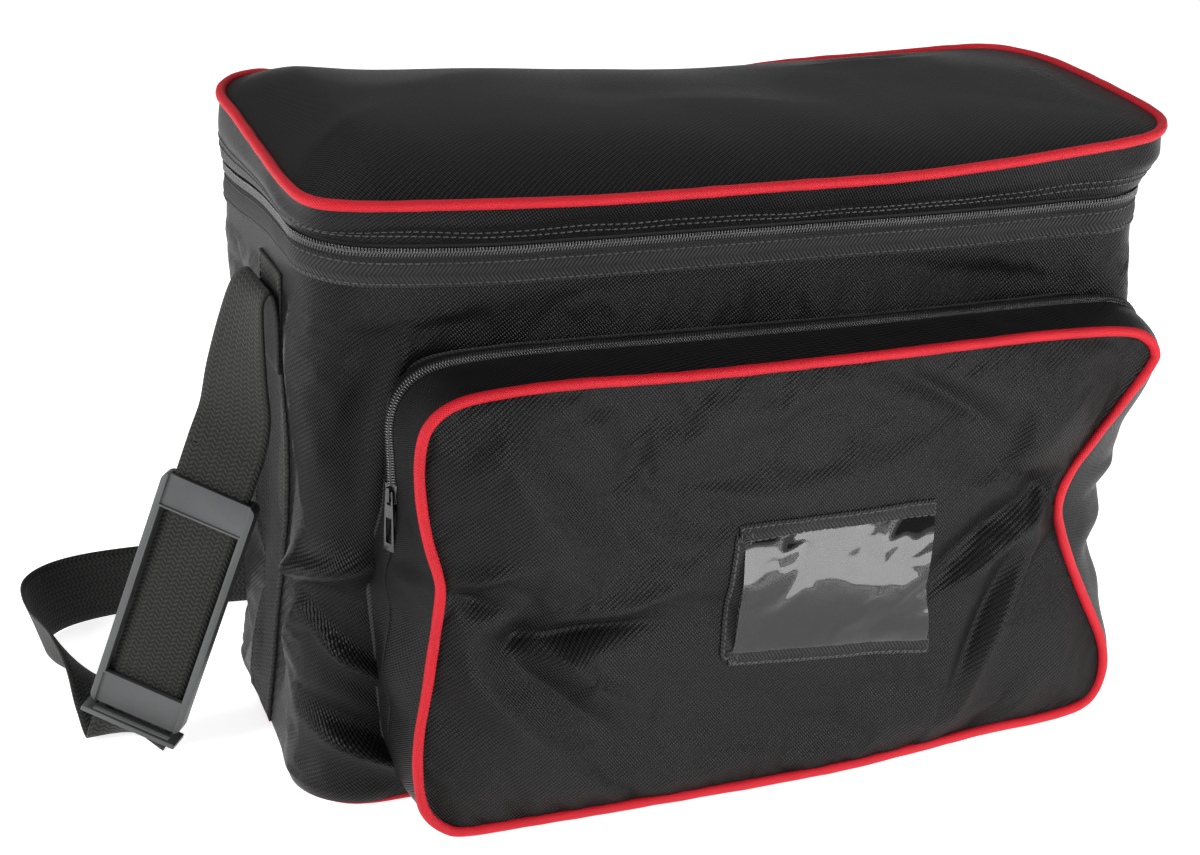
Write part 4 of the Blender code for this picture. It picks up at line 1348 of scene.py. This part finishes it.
def buildPad():
    foot, head = padAxes()[:2]
    long, half, deep = (head - foot).length, strap["padWide"] / 2, strap["padDeep"] / 2
    inner = strap["width"] / 2 + strap["room"]
    bm = bmesh.new()
    addBlock(bm, (0, 0, long / 2), (2 * half, 2 * deep, long))
    upright = [e for e in bm.edges if abs(e.verts[0].co.y - e.verts[1].co.y) > deep]
    bmesh.ops.bevel(bm, geom=upright, offset=0.004, segments=4, affect="EDGES", profile=0.5,
                    material=-1)
    pad = carve("strapPad", bm, [
        ((-inner, -0.0015, -0.01), (inner, 0.0015, long + 0.01)),
        ((-inner, -0.02, 0.018), (inner, 0.0005, long - 0.018)),
        ((-inner - 0.0006, -0.02, long - 0.017), (inner + 0.0006, -deep + 0.0012, long + 0.01)),
        ((-inner - 0.0006, -0.02, -0.01), (inner + 0.0006, -deep + 0.0012, 0.017)),
    ], 0.0006, finishes["plastic"], onStrap(foot))
    belongs(pad, "strap_pad", "pad_plastic", "strap_pad")
    return pad


def buildSlide():
    foot, _, _, _, along = padAxes()
    half, inner = strap["padWide"] / 2 + 0.001, strap["width"] / 2 + strap["room"]
    bm = bmesh.new()
    addBlock(bm, (0, -0.0031, 0.0013), (2 * half, 0.0148, 0.0026))
    slide = carve("strapSlide", bm, [
        ((-inner, -0.0083, -0.01), (inner, -0.0047, 0.01)),
        ((-inner, -0.0018, -0.01), (inner, 0.0018, 0.01)),
    ], 0.0005, finishes["plastic"], onStrap(foot - along * 0.0050))
    belongs(slide, "case", "pad_plastic", "strap_slide")
    return slide


slider = {"wide": 0.0076, "long": 0.0100, "deep": 0.0036, "pull": 0.031, "plate": 0.0011,
          "sunk": 0.0004, "turn": 0.55, "top": 0.0046, "tip": 0.0068}


def buildPocketSlider():
    # local frame: X across the zip, Y outwards, Z up the zip
    low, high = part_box("pocket_slider")
    z = (low.z + high.z) / 2
    k = np.linspace(stations * 0.7, stations, 3000)
    at = k[np.abs(ringAt(k)[3] - z).argmin()]
    middle = (pocket["zipFrom"] + pocket["zipTo"]) / 2
    spot = Vector(gussetAt(np.array([at]), np.array([middle]))[0])
    spot.z = z
    c, s = math.cos(slider["turn"]), math.sin(slider["turn"])
    frameOf = Matrix.Translation(spot + Vector((c, s, 0)) * slider["sunk"]) @ Matrix(
        ((-s, -c, 0), (c, -s, 0), (0, 0, 1))).to_4x4()
    half, deep, long = slider["wide"] / 2, slider["deep"], slider["long"]
    bm = bmesh.new()
    addBlock(bm, (0, deep / 2, 0), (2 * half, deep, long))
    for vert in bm.verts:
        if vert.co.z < 0:
            vert.co.x *= 0.66
    addBlock(bm, (0, deep + 0.0012, 0.0003), (0.0022, 0.0026, long * 0.72))
    body = carve("pocketSlider", bm, [
        ((-0.01, deep + 0.0002, -0.0022), (0.01, deep + 0.0016, 0.0022)),
        ((-0.0022, -0.01, -0.02), (0.0022, 0.0012, -long * 0.1))], 0.0004, finishes["metal"],
        frameOf)
    pin = deep + 0.0009
    bm = bmesh.new()
    addBlock(bm, (0, pin, 0.002 - slider["pull"] / 2),
             (slider["tip"], slider["plate"], slider["pull"]))
    for vert in bm.verts:
        if vert.co.z > -0.01:
            vert.co.x *= slider["top"] / slider["tip"]
    puller = carve("pocketPuller", bm, [
        ((-0.0013, -1, -0.0052), (0.0013, 1, 0.0008)),
        ((-0.0018, -1, -0.0250), (0.0018, 1, -0.0120))], 0.00025, finishes["metal"], frameOf)
    belongs(body, "pocket_slider", "slider_metal", "pocket_slider")
    belongs(puller, "pocket_puller", "slider_metal", "pocket_puller")
    print("pocket slider and puller")


def dressMetal():
    for name in ("lid_slider", "lid_puller"):
        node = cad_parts[name]
        node.data.materials.clear()
        node.data.materials.append(finishes["metal"])
    print("sliders: metal")


def buildFloor():
    bm = bmesh.new()
    bmesh.ops.create_grid(bm, x_segments=1, y_segments=1, size=40.0)
    tone, glow = studio["floorTone"], studio["floorGlow"]
    floor = meshObject("floor", bm, plainFinish(
        "paleFloor", (tone - 0.02,) * 3, (tone,) * 3, 0.7, 40.0, 0.0001,
        {"Emission Color": (1.0, 1.0, 1.0, 1.0), "Emission Strength": glow}))
    floor.data.transform(Matrix.Translation((0, 0, -0.0002)))


buildStudio()
buildFloor()
wallPiece = buildWall()
buildCaseInside()
buildCaseFoot()
buildStrap(wallPiece)
buildRim()
buildLidZip()
buildLid()
panelPiece = buildPocketPanel()
zipRight, zipLeft = zipEnds()
sidePiece = buildPocketSides(zipRight, zipLeft)
buildPocketZip(zipRight, zipLeft)
sewPocket(sidePiece, zipRight, zipLeft)
buildWindow(panelPiece)
buildPocketSlider()
dressMetal()
